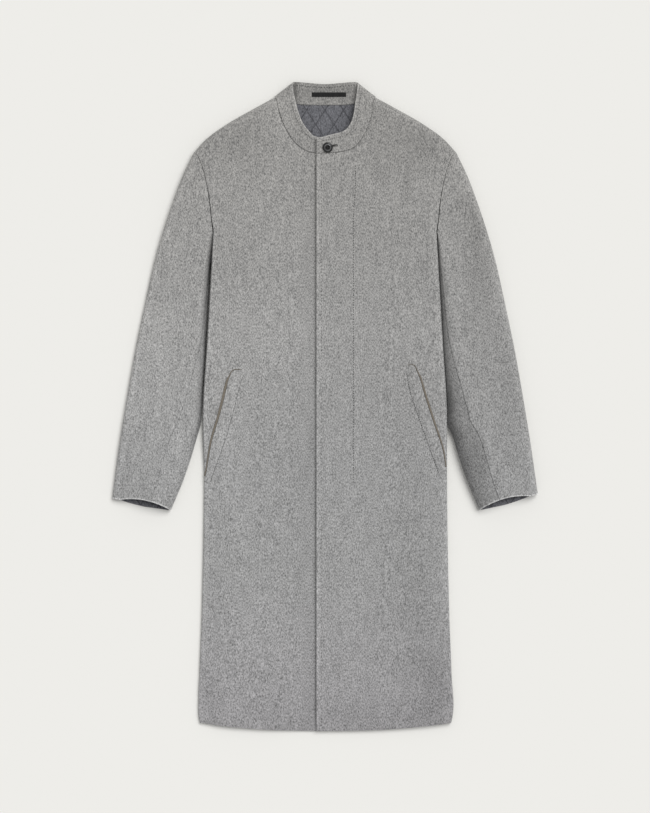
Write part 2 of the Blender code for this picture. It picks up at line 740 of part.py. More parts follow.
def add_button():
    """A turned button with a raised rim and a dished face, on the collar's upper end."""
    station, share = collar_place(BUTTON_CENTRE)
    normal = collar_normal(station, share)
    profile = (
        (0.0, 0.0),
        (BUTTON_RADIUS - BUTTON_FOOT, 0.0),
        (BUTTON_RADIUS, BUTTON_FOOT),
        (BUTTON_RADIUS, BUTTON_HEIGHT - BUTTON_BREAK),
        (BUTTON_RADIUS - BUTTON_BREAK, BUTTON_HEIGHT),
        (BUTTON_RADIUS - BUTTON_RIM, BUTTON_HEIGHT),
        (BUTTON_RADIUS - BUTTON_RIM - BUTTON_BREAK, BUTTON_HEIGHT - BUTTON_DISH),
        (0.0, BUTTON_HEIGHT - BUTTON_DISH),
    )
    shape = bmesh.new()
    line = [shape.verts.new((radius, 0.0, height)) for radius, height in profile]
    edges = [shape.edges.new(pair) for pair in zip(line, line[1:])]
    bmesh.ops.spin(shape, geom=line + edges, cent=(0.0, 0.0, 0.0), axis=(0.0, 0.0, 1.0),
                   angle=2.0 * pi, steps=BUTTON_SIDES, use_merge=True)
    bmesh.ops.remove_doubles(shape, verts=shape.verts, dist=MERGE_DISTANCE)
    bmesh.ops.recalc_face_normals(shape, faces=shape.faces)
    button = add_object("collar_button", shape, BLACK_HORN, HORN_ROUGH)
    button.rotation_mode = "QUATERNION"
    button.rotation_quaternion = Vector((0.0, 0.0, 1.0)).rotation_difference(normal)
    button.location = collar_point(station, share) + normal * LAYER_GAP


def make_coat():
    """Clears the scene and makes every piece of the coat."""
    for old in list(bpy.data.objects):
        bpy.data.objects.remove(old)
    add_back()
    over_neck = panel_neckline(NECK_OVER)
    under_neck = panel_neckline(NECK_UNDER)
    under_neck[0].x = -UNDERLAP_X
    add_front("front_panel_left", False, FRONT_EDGE_X, over_neck, over_height)
    add_front("front_panel_right", True, -UNDERLAP_X, under_neck, under_height)
    for side, mirrored, tilt in (("left", False, CUFF_TILT_LEFT), ("right", True, CUFF_TILT_RIGHT)):
        add_wool("sleeve_top_" + side, top_sleeve_points(tilt), mirrored, CLOTH_WALL, -1.0)
        add_wool("sleeve_under_" + side, under_sleeve_points(tilt), mirrored, CLOTH_WALL, -1.0)
    add_collar()
    add_pocket("left", False, POCKET_LEFT, over_height)
    add_pocket("right", True, POCKET_RIGHT, under_height)
    add_button()
    add_label()


make_coat()
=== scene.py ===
# %% [markdown]
# # A long wool coat, laid flat on its back
#
# The coat is sewn from felted double-face wool: two cloths in one, grey outside and blue-grey
# inside, so it needs no lining. It lies with its back on the floor, its fronts over the back and
# its sleeves beside it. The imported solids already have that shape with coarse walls. This lesson
# lays finer cloth on the same form, and adds the finish, the creases and the sewing.

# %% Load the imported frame
from functools import lru_cache
from math import asin, cos, exp, pi, radians, sin, sqrt

import bmesh
import bpy
import numpy as np
from mathutils import Matrix, Vector


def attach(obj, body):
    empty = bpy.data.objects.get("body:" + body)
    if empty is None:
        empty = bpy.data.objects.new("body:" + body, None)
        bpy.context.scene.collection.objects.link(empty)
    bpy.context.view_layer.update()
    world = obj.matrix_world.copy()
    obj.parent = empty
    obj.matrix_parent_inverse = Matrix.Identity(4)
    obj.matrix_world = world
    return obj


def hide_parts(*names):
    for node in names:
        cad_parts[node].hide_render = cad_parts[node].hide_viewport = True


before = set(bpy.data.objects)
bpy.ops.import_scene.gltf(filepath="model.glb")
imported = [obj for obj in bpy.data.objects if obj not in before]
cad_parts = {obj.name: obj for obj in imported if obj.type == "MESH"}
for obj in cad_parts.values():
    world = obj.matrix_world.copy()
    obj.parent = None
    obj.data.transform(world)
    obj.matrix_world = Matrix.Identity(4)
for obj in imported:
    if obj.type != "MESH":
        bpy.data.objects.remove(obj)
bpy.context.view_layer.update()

# %% [markdown]
# ## Camera and light
#
# A flat garment is photographed from straight above, with a long lens so that nothing leans. One large,
# high lamp stands towards the left shoulder of the wearer, and the bright room fills the shade. A sun
# lamp with a wide angle gives the same soft shade at every place, which one near area lamp would not.

# %% Camera
VIEW_TALL = 1.496
LENS = 140.0
SENSOR = 36.0
CLOTH_LEVEL = 0.012
camera = bpy.data.objects.new("camera", bpy.data.cameras.new("camera"))
camera.data.lens = LENS
camera.data.sensor_width = SENSOR
camera.data.sensor_height = SENSOR
camera.location = (0.0, 0.0, CLOTH_LEVEL + VIEW_TALL * LENS / SENSOR)
bpy.context.scene.collection.objects.link(camera)
bpy.context.scene.camera = camera
print("camera at", round(camera.location.z, 3), "m above the floor")

# %% Lamp and room light
SUN_STRENGTH = 2.05
SUN_ANGLE = radians(42.0)
SUN_HEIGHT = radians(58.0)
SUN_BEARING = radians(45.0)
ROOM_LIGHT = 0.47
ROOM_WHITE = (1.0, 1.0, 1.0, 1.0)
sun = bpy.data.objects.new("sun", bpy.data.lights.new("sun", "SUN"))
sun.data.energy = SUN_STRENGTH
sun.data.angle = SUN_ANGLE
to_sun = Vector((cos(SUN_HEIGHT) * cos(SUN_BEARING), cos(SUN_HEIGHT) * sin(SUN_BEARING), sin(SUN_HEIGHT)))
sun.rotation_euler = to_sun.to_track_quat("Z", "Y").to_euler()
bpy.context.scene.collection.objects.link(sun)
room = bpy.data.worlds.new("room")
room.use_nodes = True
room.node_tree.nodes["Background"].inputs["Color"].default_value = ROOM_WHITE
room.node_tree.nodes["Background"].inputs["Strength"].default_value = ROOM_LIGHT
bpy.context.scene.world = room
bpy.context.scene.view_settings.view_transform = "Standard"
print("sun towards", [round(v, 3) for v in to_sun])

# %% [markdown]
# ## Writing finishes as sums
#
# A finish is a graph of nodes. Reading a graph is hard, so a small class wraps one socket and lets
# plain Python sums add the Math nodes. Every other node comes from one method, which takes the
# node's type, its settings and the values or links of its sockets.

# %% A socket that can be added and multiplied
class Signal:
    """One socket of a finish. Sums and products of signals add the Math nodes that they need."""

    def __init__(self, tree, socket=None):
        self.tree = tree
        self.socket = socket

    def node(self, kind, settings=None, sockets=None, output=0):
        """Adds a node of any kind and gives one of its outputs."""
        made = self.tree.nodes.new(kind)
        for name, value in (settings or {}).items():
            setattr(made, name, value)
        for name, value in (sockets or {}).items():
            if isinstance(value, Signal):
                self.tree.links.new(value.socket, made.inputs[name])
            else:
                made.inputs[name].default_value = value
        return Signal(self.tree, made.outputs[output])

    def maths(self, operation, first, second=0.0):
        """Adds a Math node."""
        return self.node("ShaderNodeMath", {"operation": operation}, {0: first, 1: second})

    def __add__(self, other):
        return self.maths("ADD", self, other)

    def __sub__(self, other):
        return self.maths("SUBTRACT", self, other)

    def __rsub__(self, other):
        return self.maths("SUBTRACT", other, self)

    def __mul__(self, other):
        return self.maths("MULTIPLY", self, other)

    def __truediv__(self, other):
        return self.maths("DIVIDE", self, other)

    __radd__ = __add__
    __rmul__ = __mul__

    def clear(self):
        """Keeps a value between 0 and 1."""
        return self.maths("MINIMUM", self.maths("MAXIMUM", self, 0.0), 1.0)

    def noise(self, place, scale, detail=0.0, roughness=0.5):
        """Soft noise around 0. The scale is in spots for each metre."""
        stretched = self.node("ShaderNodeMapping", {}, {"Vector": place, "Scale": scale})
        sockets = {"Vector": stretched, "Scale": 1.0, "Detail": detail, "Roughness": roughness}
        return self.node("ShaderNodeTexNoise", {}, sockets) - 0.5

    def scaled(self, colour, factor):
        """A colour made lighter or darker."""
        return self.node("ShaderNodeVectorMath", {"operation": "SCALE"}, {0: colour, "Scale": factor})

    def blend(self, share, first, second):
        """Goes from one colour to another. A Mix node takes its colours at sockets 6 and 7."""
        sockets = {0: share, 6: first, 7: second}
        return self.node("ShaderNodeMix", {"data_type": "RGBA"}, sockets, output=2)


def new_finish(name, roughness, **constants):
    """A material with its shader, its first signal and the place on the piece that it reads."""
    material = bpy.data.materials.new(name)
    material.use_nodes = True
    shader = material.node_tree.nodes["Principled BSDF"]
    shader.inputs["Roughness"].default_value = roughness
    for socket, value in constants.items():
        shader.inputs[socket.replace("_", " ")].default_value = value
    start = Signal(material.node_tree)
    return material, shader, start, start.node("ShaderNodeTexCoord", output="Object")


def feed(signal, shader, socket):
    """Links a signal to a socket of the shader."""
    signal.tree.links.new(signal.socket, shader.inputs[socket])


def shade(red, green, blue):
    """A colour for a socket, from linear red, green and blue."""
    return (red, green, blue, 1.0)


print("finishes can be written as sums")

# %% [markdown]
# ## Melange wool
#
# Light and dark wool are mixed before spinning, so the cloth is speckled at about the width of a
# yarn. Milling and brushing draw the speckles out along the coat's length and leave a short nap.
# A picture of cloth could be laid on, but noise has no seam, and keeps one scale on every piece. Four
# noises do this: one of yarn size, one of fibre size, one of long streaks, and a wide one for the uneven
# depth of the dye. The finest two raise the nap a little too, and sheen lights it where the cloth turns
# away. The pieces also carry an attribute, "nap": wide patches of brushing together with painted light
# and painted shade, which scale the colour.

# %% Speckle and nap
# Spots for each metre, across and along the coat
YARN_SPOTS = (560.0, 275.0, 560.0)
FIBRE_SPOTS = (1500.0, 800.0, 1500.0)
STREAK_SPOTS = (110.0, 26.0, 110.0)
CLOUD_SPOTS = (26.0, 20.0, 26.0)
NAP_DEPTH = 0.0007
WOOL_NAP = 0.30
WOOL_ROUGH = 0.92
WOOL = {"Sheen_Roughness": 0.45, "Specular_IOR_Level": 0.15}


def melange(start, place, yarn, fibre, streak, cloud):
    """Speckle around 0 for the nap's height and for the colour, from the four noises."""
    fine = start.noise(place, YARN_SPOTS, detail=1.0) * yarn + start.noise(place, FIBRE_SPOTS) * fibre
    streaks = start.noise(place, STREAK_SPOTS, detail=1.0) * streak
    wide = streaks + start.noise(place, CLOUD_SPOTS, detail=2.0) * cloud
    return fine, fine + wide


def nap(start, height, strength):
    """Raises the nap of a cloth."""
    return start.node("ShaderNodeBump", {}, {"Strength": strength, "Distance": NAP_DEPTH, "Height": height})


print("melange has its finest spots every", round(1000.0 / FIBRE_SPOTS[0], 2), "mm")

# %% [markdown]
# ### The outer face
#
# The wool is a little warmer in tone towards the shoulders and a little cooler towards the hem, so the
# light yarn has three tones, mixed along the coat's length. Three materials would show a step where they
# meet. Object coordinates give the length on every piece alike. The "nap" attribute, which holds patches of
# brushing and painted light and shade, then scales the colour.

# %% Grey wool for the outside
WARM_Y = (-0.10, 0.55)
COOL_Y = (-0.30, -0.55)
DARK_GREY = shade(0.118, 0.118, 0.117)
LIGHT_GREY = shade(0.489, 0.487, 0.484)
SHOULDER_GREY = shade(0.500, 0.487, 0.464)
HEM_GREY = shade(0.491, 0.479, 0.488)


def between(signal, low, high):
    """Goes from 0 at low to 1 at high."""
    return ((signal - low) / (high - low)).clear()


outer_wool, shader, start, place = new_finish("grey_melange_wool", WOOL_ROUGH, Sheen_Weight=0.25, **WOOL)
fine, speckle = melange(start, place, yarn=1.66, fibre=0.9, streak=0.29, cloud=0.07)
height = start.node("ShaderNodeSeparateXYZ", {}, {"Vector": place}, output="Y")
light = start.blend(between(height, *WARM_Y), LIGHT_GREY, SHOULDER_GREY)
light = start.blend(between(height, *COOL_Y), light, HEM_GREY)
ground = start.blend((0.5 + speckle).clear(), DARK_GREY, light)
# The "nap" attribute holds brushing and painted light and shade, and it scales the colour here.
brushed_and_painted_light = 1.0 + start.node("ShaderNodeAttribute", {"attribute_name": "nap"}, output="Fac")
feed(start.scaled(ground, brushed_and_painted_light), shader, "Base Color")
feed(nap(start, fine, WOOL_NAP), shader, "Normal")
print("made", outer_wool.name)

# %% [markdown]
# ### The inner face
#
# The inner cloth is woven with a plain lattice of diamonds. Strips of mesh could draw it, but lines in the
# finish follow every bend of the cloth. There are two sets of slanted lines, and a line lies where a count
# of diamonds is halfway between whole numbers. The speckle makes the lines fuzzy.

# %% Blue-grey wool for the inside
DIAMOND_WIDE = 0.034
DIAMOND_TALL = 0.052
DIAMOND_LINE = 0.060
DIAMOND_FUZZ = 0.05
DIAMOND_DEPTH = 0.75
DARK_BLUE = shade(0.060, 0.061, 0.067)
LIGHT_BLUE = shade(0.222, 0.224, 0.244)
DIAMOND_BLUE = shade(0.034, 0.034, 0.039)


def slanted_lines(count):
    """1 on a line, where the count is halfway between whole numbers, and 0 away from it."""
    off_line = count.maths("ABSOLUTE", count.maths("FRACT", count) - 0.5)
    return (1.0 - off_line / DIAMOND_LINE).clear()


inner_wool, shader, start, place = new_finish("blue_grey_wool", WOOL_ROUGH, Sheen_Weight=0.20, **WOOL)
fine, speckle = melange(start, place, yarn=1.5, fibre=0.9, streak=0.20, cloud=0.25)
ground = start.blend((0.5 + speckle).clear(), DARK_BLUE, LIGHT_BLUE)
across = start.node("ShaderNodeSeparateXYZ", {}, {"Vector": place}, output="X") / DIAMOND_WIDE
down = start.node("ShaderNodeSeparateXYZ", {}, {"Vector": place}, output="Y") / DIAMOND_TALL
fuzz = fine * DIAMOND_FUZZ
lines = start.maths("MAXIMUM", slanted_lines(across + down + fuzz), slanted_lines(across - down + fuzz))
feed(start.blend(lines * DIAMOND_DEPTH, ground, DIAMOND_BLUE), shader, "Base Color")
feed(nap(start, fine, WOOL_NAP), shader, "Normal")
print("made", inner_wool.name)

# %% [markdown]
# ## Small finishes
#
# The thread is wool of a darker grey. The pocket mouths are edged with a thin brown strip, the button is
# sewn on with black thread, and the label is a bare black satin tape. Each could have nodes of its own,
# but all four are two tones of one colour, mixed by noise, so one function makes them from a table.

# %% Thread, edging and tape
RIB_SPOTS = (900.0, 900.0, 900.0)
TAPE_RIBS = (5200.0, 60.0, 60.0)
SMALL_NAP = 0.15
# Name, dark tone, light tone, spots for each metre, contrast, roughness, glint
SMALL_FINISHES = (
    ("grey_thread", (0.030, 0.030, 0.030), (0.080, 0.080, 0.078), RIB_SPOTS, 1.5, 0.85, 0.1),
    ("brown_edging", (0.120, 0.104, 0.084), (0.240, 0.212, 0.175), RIB_SPOTS, 1.6, 0.75, 0.2),
    ("black_thread", (0.008, 0.008, 0.008), (0.030, 0.030, 0.031), RIB_SPOTS, 1.5, 0.80, 0.1),
    ("black_tape", (0.006, 0.006, 0.006), (0.030, 0.030, 0.030), TAPE_RIBS, 2.0, 0.55, 0.1),
)


def plain_finish(name, dark, light, spots, contrast, roughness, glint):
    """Two tones of one colour, mixed by noise, with a bump of the same noise."""
    material, shader, start, place = new_finish(name, roughness, Specular_IOR_Level=glint)
    cloud = start.noise(place, spots, detail=1.0) * contrast
    feed(start.blend((0.5 + cloud).clear(), shade(*dark), shade(*light)), shader, "Base Color")
    feed(nap(start, cloud, SMALL_NAP), shader, "Normal")
    return material


thread_finish, edging_finish, black_thread, tape_finish = [plain_finish(*row) for row in SMALL_FINISHES]
print("made", [row[0] for row in SMALL_FINISHES])

# %% [markdown]
# ## Floor
#
# The coat lies on a pale, matt sheet. A grid of one cell is enough for that. It is very wide, so that its
# far edge meets the horizon in a low view, and it lies a little below the cloth, so that the two faces
# don't flicker. It is not attached to the coat.

# %% Floor
FLOOR_HALF = 60.0
FLOOR_DROP = 0.0003
FLOOR_ROUGH = 0.95
FLOOR_PALE = shade(0.835, 0.827, 0.796)
floor_finish, shader, *_ = new_finish("pale_floor", FLOOR_ROUGH, Specular_IOR_Level=0.0)
shader.inputs["Base Color"].default_value = FLOOR_PALE
shape = bmesh.new()
bmesh.ops.create_grid(shape, x_segments=1, y_segments=1, size=FLOOR_HALF)
bmesh.ops.translate(shape, verts=shape.verts, vec=(0.0, 0.0, -FLOOR_DROP))
floor_mesh = bpy.data.meshes.new("floor")
shape.to_mesh(floor_mesh)
shape.free()
floor_mesh.materials.append(floor_finish)
floor = bpy.data.objects.new("floor", floor_mesh)
bpy.context.scene.collection.objects.link(floor)
print("floor", 2.0 * FLOOR_HALF, "m wide")

# %% [markdown]
# ## Reading the pattern's tables
#
# A cutter keeps a pattern as a few measured points and draws smooth lines through them. A Bezier curve
# could do that, but it can't be asked for its value at a key. A track can: it holds the rows of a table
# and gives a smooth value at any key between them. Most tables are the solids' own, so the finer cloth has
# their outline. A few points differ by some millimetres, where the coat has a finer form than the solids.

# %% Tracks through tables
def ease(value):
    """Goes from 0 to 1 with a soft start and end."""
    share = min(max(value, 0.0), 1.0)
    return share * share * (3.0 - 2.0 * share)


def ramp(value, start, end):
    """Goes softly from 0 at start to 1 at end."""
    return ease((value - start) / (end - start))


def mix(first, second, share):
    """Goes straight from the first value to the second."""
    return first + (second - first) * share


class Track:
    """A smooth line through rows of (key, values...)."""

    def __init__(self, rows):
        table = np.array(rows)
        self.keys = table[:, 0]
        self.values = table[:, 1:]
        self.slopes = np.gradient(self.values, self.keys, axis=0)

    def __call__(self, key):
        first = int(np.clip(np.searchsorted(self.keys, key) - 1, 0, len(self.keys) - 2))
        step = self.keys[first + 1] - self.keys[first]
        share = min(max((key - self.keys[first]) / step, 0.0), 1.0)
        square = share * share
        cube = square * share
        at_start = (2.0 * cube - 3.0 * square + 1.0) * self.values[first]
        at_end = (3.0 * square - 2.0 * cube) * self.values[first + 1]
        leave = (cube - 2.0 * square + share) * step * self.slopes[first]
        arrive = (cube - square) * step * self.slopes[first + 1]
        return at_start + at_end + leave + arrive


class Line:
    """A smooth plan line through points, read by the share of its length."""

    STEP = 0.01

    def __init__(self, points):
        places = np.array(points)
        runs = np.linalg.norm(np.diff(places, axis=0), axis=1)
        keys = np.concatenate(((0.0,), np.cumsum(runs))) / runs.sum()
        self.track = Track(np.column_stack((keys, places)))

    @lru_cache(maxsize=None)
    def at(self, share):
        """A plan point of the line."""
        return Vector(self.track(share))

    @lru_cache(maxsize=None)
    def side(self, share):
        """The unit direction to the left of the line's run."""
        run = self.at(min(share + self.STEP, 1.0)) - self.at(max(share - self.STEP, 0.0))
        return Vector((-run.y, run.x)).normalized()


print("tables can be read between their rows")

# %% [markdown]
# ## Outline of the body
#
# The body is straight and long. Its side folds are pressed almost flat, and the shoulders keep a
# rounder roll. Walls, gaps and nearly all widths and heights are those of the solids. They could be read
# from the solids' meshes, but a table gives a smooth line for any number of cells.

# %% Sizes and tables of the body
CLOTH_WALL = 0.0024
COLLAR_WALL = 0.0030
WELT_WALL = 0.0016
SEAM_GAP = 0.0004
SEWN_GAP = 0.0004
LAYER_GAP = 0.00035
FRONT_EDGE_X = -0.0154
UNDERLAP_X = 0.0450
HEM_CENTRE_Y = -0.5975
HEM_HALF = 0.2335
HEM_BOW = 0.0155
HEM_BOW_POWER = 2.3
ARMPIT_Y = 0.3217
CENTRE_HEIGHT = 0.0086
SIDE_HEIGHT = 0.0115
SHOULDER_HEIGHT = 0.0190
CALM_HALF = 0.0600
NECK_RISE_SHARE = 0.30
NECK_RISE_Y = (0.345, 0.455)
ROLL_DEPTH = 0.0100
SIDE_ROLL_DEPTH = 0.0042
ARMPIT_ROLL_DEPTH = 0.0004
ROLL_FADE = 0.0900
BACK_INSET = 0.0015
UNDERLAP_DROP = COLLAR_WALL + LAYER_GAP
DROP_X = (0.0350, 0.1200)

# Half width of the body: y, x
SIDE = Track((
    (-0.5820, 0.2325), (-0.5700, 0.2350), (-0.4920, 0.2331), (-0.3890, 0.2292), (-0.2830, 0.2266),
    (-0.1720, 0.2250), (-0.0770, 0.2248), (-0.0400, 0.2250), (-0.0180, 0.2252), (0.0080, 0.2246),
    (0.0410, 0.2228), (0.1000, 0.2186), (0.1880, 0.2135), (0.2470, 0.2100), (0.3217, 0.2049),
))
HEM_SIDE_Y = float(SIDE.keys[0])

# Seam from the armpit up to the shoulder: x, y
ARMHOLE = Line((
    (0.2045, 0.3217), (0.2080, 0.3450), (0.2112, 0.3750), (0.2163, 0.4050), (0.2245, 0.4380),
    (0.2335, 0.4612),
))

# Outline of the shoulder, from the neck to the sleeve: x, y
SHOULDER = Line((
    (0.0925, 0.5695), (0.1298, 0.5489), (0.1807, 0.5195), (0.2204, 0.4901), (0.2408, 0.4676),
))

# Collar on the front that lies over: seam x, seam y, upper edge x, upper edge y, upper edge z
NECK_OVER = (
    (-0.0154, 0.4656, -0.0154, 0.4925, 0.0160),
    (0.0232, 0.4676, 0.0080, 0.4990, 0.0175),
    (0.0528, 0.4758, 0.0330, 0.5055, 0.0190),
    (0.0675, 0.4936, 0.0450, 0.5165, 0.0205),
    (0.0802, 0.5190, 0.0525, 0.5345, 0.0215),
    (0.0872, 0.5440, 0.0562, 0.5600, 0.0215),
    (0.0878, 0.5602, 0.0590, 0.5790, 0.0200),
)

# Collar on the front that lies under, with x counted towards its own sleeve
NECK_UNDER = (
    (-0.0230, 0.4660, -0.0230, 0.4960, 0.0130),
    (0.0191, 0.4668, 0.0150, 0.4960, 0.0135),
    (0.0381, 0.4724, 0.0296, 0.5063, 0.0165),
    (0.0560, 0.4862, 0.0423, 0.5232, 0.0190),
    (0.0725, 0.5105, 0.0500, 0.5430, 0.0210),
    (0.0835, 0.5379, 0.0545, 0.5600, 0.0212),
    (0.0878, 0.5602, 0.0585, 0.5790, 0.0200),
)

# Collar round the side fold to the centre back: seam x, y, z, upper edge x, y, z
NECK_BACK = (
    (0.0927, 0.5692, 0.0106, 0.0606, 0.5915, 0.0165),
    (0.0925, 0.5701, 0.0052, 0.0600, 0.5960, 0.0110),
    (0.0840, 0.5668, 0.0030, 0.0530, 0.5976, 0.0075),
    (0.0480, 0.5578, 0.0008, 0.0300, 0.5960, 0.0060),
    (0.0000, 0.5562, 0.0005, 0.0000, 0.5938, 0.0060),
)
print("body is", 2.0 * HEM_HALF, "m wide at the hem")

# %% [markdown]
# ## Creases
#
# Heavy felted wool doesn't wrinkle. It shows a few long, shallow waves where it was lifted and laid
# down, and short soft dents by the armholes. A cloth simulation makes folds too, but not the ones that are
# wanted. So each is given as a ridge or a trough with its own run, width and height. Both
# fronts share one table, so that they move together where they lap.

# %% Waves of the body
# Middle x, y, bearing of its run in degrees, half length, half width, height
BODY_WAVES = (
    (0.165, -0.330, 82.0, 0.170, 0.026, -0.0016),
    (0.125, -0.400, 86.0, 0.160, 0.030, 0.0012),
    (0.150, 0.050, 70.0, 0.110, 0.034, 0.0011),
    (0.170, 0.220, 96.0, 0.080, 0.024, -0.0011),
    (0.120, 0.330, 118.0, 0.090, 0.030, 0.0012),
    (0.165, -0.500, 60.0, 0.080, 0.030, -0.0010),
    (-0.150, -0.250, 97.0, 0.150, 0.030, 0.0012),
    (-0.185, -0.430, 88.0, 0.120, 0.022, -0.0012),
    (-0.120, 0.100, 80.0, 0.140, 0.036, 0.0011),
    (-0.165, 0.250, 84.0, 0.090, 0.024, -0.0012),
    (-0.130, 0.340, 58.0, 0.090, 0.030, 0.0012),
    (-0.090, -0.480, 100.0, 0.100, 0.032, 0.0009),
)
WAVE_END_Y = (0.390, 0.470)
WAVE_REACH = 3.0


def read_waves(table, x, y):
    """Sum of the waves at a plan point."""
    total = 0.0
    for middle_x, middle_y, bearing, long, wide, high in table:
        turn = radians(bearing)
        along = (x - middle_x) * cos(turn) + (y - middle_y) * sin(turn)
        across = (y - middle_y) * cos(turn) - (x - middle_x) * sin(turn)
        far = (along / long) ** 2 + (across / wide) ** 2
        if far < WAVE_REACH ** 2:
            total += high * exp(-far)
    return total


def body_wave(x, y):
    """Waves of the body fade out under the collar."""
    return read_waves(BODY_WAVES, x, y) * (1.0 - ramp(y, *WAVE_END_Y))


print(len(BODY_WAVES), "waves on the body")

# %% [markdown]
# ## Height of the fronts
#
# The fronts rest on the back. They rise a little to the folds at the sides, to the armholes and to
# the collar. The front that lies under dips below the other near the centre. Below the sleeve its side
# fold is pressed flatter and tucked in a little. The front edge that lies over is turned and sewn, so it
# is thicker and stands up a little. Sculpting could shape all this, but a coat that lies flat needs only
# one height for each plan point, and pockets and stitches can then ask for the surface they lie on.

# %% Height functions
EDGE_LIFT = 0.0036
EDGE_LIFT_WIDTH = 0.0060
HEM_LIFT_SHARE = 0.35
HEM_LIFT_FADE = 0.045
THIN_SIDE = 0.0042
THIN_SIDE_WIDTH = 0.0450
THIN_SIDE_Y = (-0.130, -0.045)
SIDE_TUCK = 0.0022
HEM_TUCK = 0.0018
HEM_TUCK_Y = -0.545
HEM_TUCK_LONG = 0.022
CHEST = (0.10, 0.25)
armhole_points = ARMHOLE.track.values
shoulder_points = SHOULDER.track.values[::-1]


def side_x(y):
    """Half width of the body."""
    return float(SIDE(y)[0])


def hem_y(x):
    """The hem bows down towards the centre."""
    return HEM_CENTRE_Y + HEM_BOW * (abs(x) / HEM_HALF) ** HEM_BOW_POWER


def roll_depth(y):
    """The side fold narrows to nothing at the armpit."""
    return mix(ARMPIT_ROLL_DEPTH, SIDE_ROLL_DEPTH, ease((ARMPIT_Y - y) / ROLL_FADE))


@lru_cache(maxsize=None)
def reach_x(y):
    """Half width that the upper face reaches: side, armhole or shoulder."""
    if y <= ARMPIT_Y:
        return side_x(y) - roll_depth(y)
    if y <= armhole_points[-1, 1]:
        return float(np.interp(y, armhole_points[:, 1], armhole_points[:, 0]))
    return float(np.interp(y, shoulder_points[:, 1], shoulder_points[:, 0])) - ROLL_DEPTH


def body_height(x, y):
    """Height of the upper face before creases and sewing."""
    edge = mix(SHOULDER_HEIGHT, SIDE_HEIGHT, ease((ARMPIT_Y - y) / ROLL_FADE))
    reach = max(reach_x(y), CALM_HALF + ROLL_DEPTH)
    to_side = ramp(abs(x), CALM_HALF, reach)
    to_neck = ramp(y, *NECK_RISE_Y)
    rise = 1.0 - (1.0 - to_side) * (1.0 - NECK_RISE_SHARE * to_neck)
    return mix(CENTRE_HEIGHT, edge, rise)


def edge_lift(x, y):
    """The turned front edge stands up a little, and less at the hem."""
    at_hem = mix(HEM_LIFT_SHARE, 1.0, ease((y - HEM_CENTRE_Y) / HEM_LIFT_FADE))
    return EDGE_LIFT * at_hem * exp(-((x - FRONT_EDGE_X) / EDGE_LIFT_WIDTH) ** 2)


def over_height(x, y):
    """Upper face of the front that lies over."""
    return body_height(x, y) + body_wave(x, y) + edge_lift(x, y)


def thin_side(x, y):
    """1 at the right side's fold below the sleeve, where the coat lies flatter, and 0 away from it."""
    return ease((x - reach_x(y)) / THIN_SIDE_WIDTH + 1.0) * (1.0 - ramp(y, *THIN_SIDE_Y))


def under_height(x, y):
    """Upper face of the front that lies under. Its x counts towards its own sleeve."""
    dip = UNDERLAP_DROP * (1.0 - ramp(x, *DROP_X)) + THIN_SIDE * thin_side(x, y)
    return body_height(x, y) + body_wave(-x, y) - dip


def tuck_side(shape):
    """Moves the right side's fold a little further in, on a piece that it runs through."""
    for corner in shape.verts:
        x, y, _ = corner.co
        tuck = SIDE_TUCK + HEM_TUCK * exp(-((y - HEM_TUCK_Y) / HEM_TUCK_LONG) ** 2)
        corner.co.x += tuck * thin_side(-x, y)


print("chest is", round(over_height(*CHEST) * 1000.0, 1), "mm high")

# %% [markdown]
# ## Brushed nap and painted light
#
# Wool brushed one way looks lighter than wool brushed the other way, and handling leaves wide patches
# of both. They are usually painted on as weights, and a table of soft spots does the same in a script.
# The spots are partly brushing and partly painted light and painted shade. Folded edges get a painted
# sheen, the front edge a painted highlight and the slot a painted shade. Each corner of the cloth carries
# the sum of these, and the finish reads it.

# %% Lighter and darker patches
# Painted light and painted shade, partly brushing: soft spots that lighten or darken the cloth
# Middle x, y, half width, half height, gain
NAP_AND_SHADE_PATCHES = (
    (-0.310, 0.120, 0.060, 0.220, 0.18),
    (-0.345, -0.110, 0.060, 0.080, 0.08),
    (-0.302, 0.225, 0.022, 0.055, -0.11),
    (-0.352, 0.030, 0.018, 0.070, 0.13),
    (0.285, 0.275, 0.030, 0.110, -0.13),
    (0.262, 0.345, 0.030, 0.050, -0.09),
    (0.270, -0.100, 0.025, 0.050, -0.11),
    (0.205, -0.250, 0.030, 0.250, 0.05),
    (0.070, 0.530, 0.025, 0.045, -0.06),
    (0.345, 0.040, 0.040, 0.140, -0.13),
    (0.265, 0.010, 0.030, 0.180, -0.05),
    (-0.180, -0.220, 0.080, 0.300, 0.05),
    (0.050, -0.250, 0.060, 0.300, 0.05),
    (0.170, -0.330, 0.045, 0.200, -0.07),
    (-0.120, 0.120, 0.110, 0.090, 0.10),
    (-0.190, -0.060, 0.035, 0.130, 0.09),
    (0.130, 0.140, 0.100, 0.070, 0.05),
    (-0.110, -0.420, 0.120, 0.090, 0.05),
    (0.210, -0.520, 0.045, 0.090, -0.16),
    (-0.215, -0.535, 0.020, 0.040, -0.06),
    (-0.170, 0.480, 0.100, 0.050, -0.11),
    (0.170, 0.480, 0.100, 0.050, -0.14),
    (0.050, -0.580, 0.200, 0.035, -0.09),
    (-0.070, 0.530, 0.025, 0.045, 0.14),
    (0.000, 0.582, 0.070, 0.018, -0.25),
)
# Painted sheen where the cloth rolls over a fold
FOLD_SHEEN = 0.10
FOLD_SHEEN_WIDTH = 0.0060
# Painted highlight along the front edge that lies over
EDGE_HIGHLIGHT = 0.14
FRONT_HIGHLIGHT_WIDTH = 0.0040
# Painted shade on the side fold, deep in the slot beside the sleeve
SLOT_PAINTED_SHADE = {"left": -0.50, "right": -0.75}
SLOT_END_Y = (-0.050, 0.010)


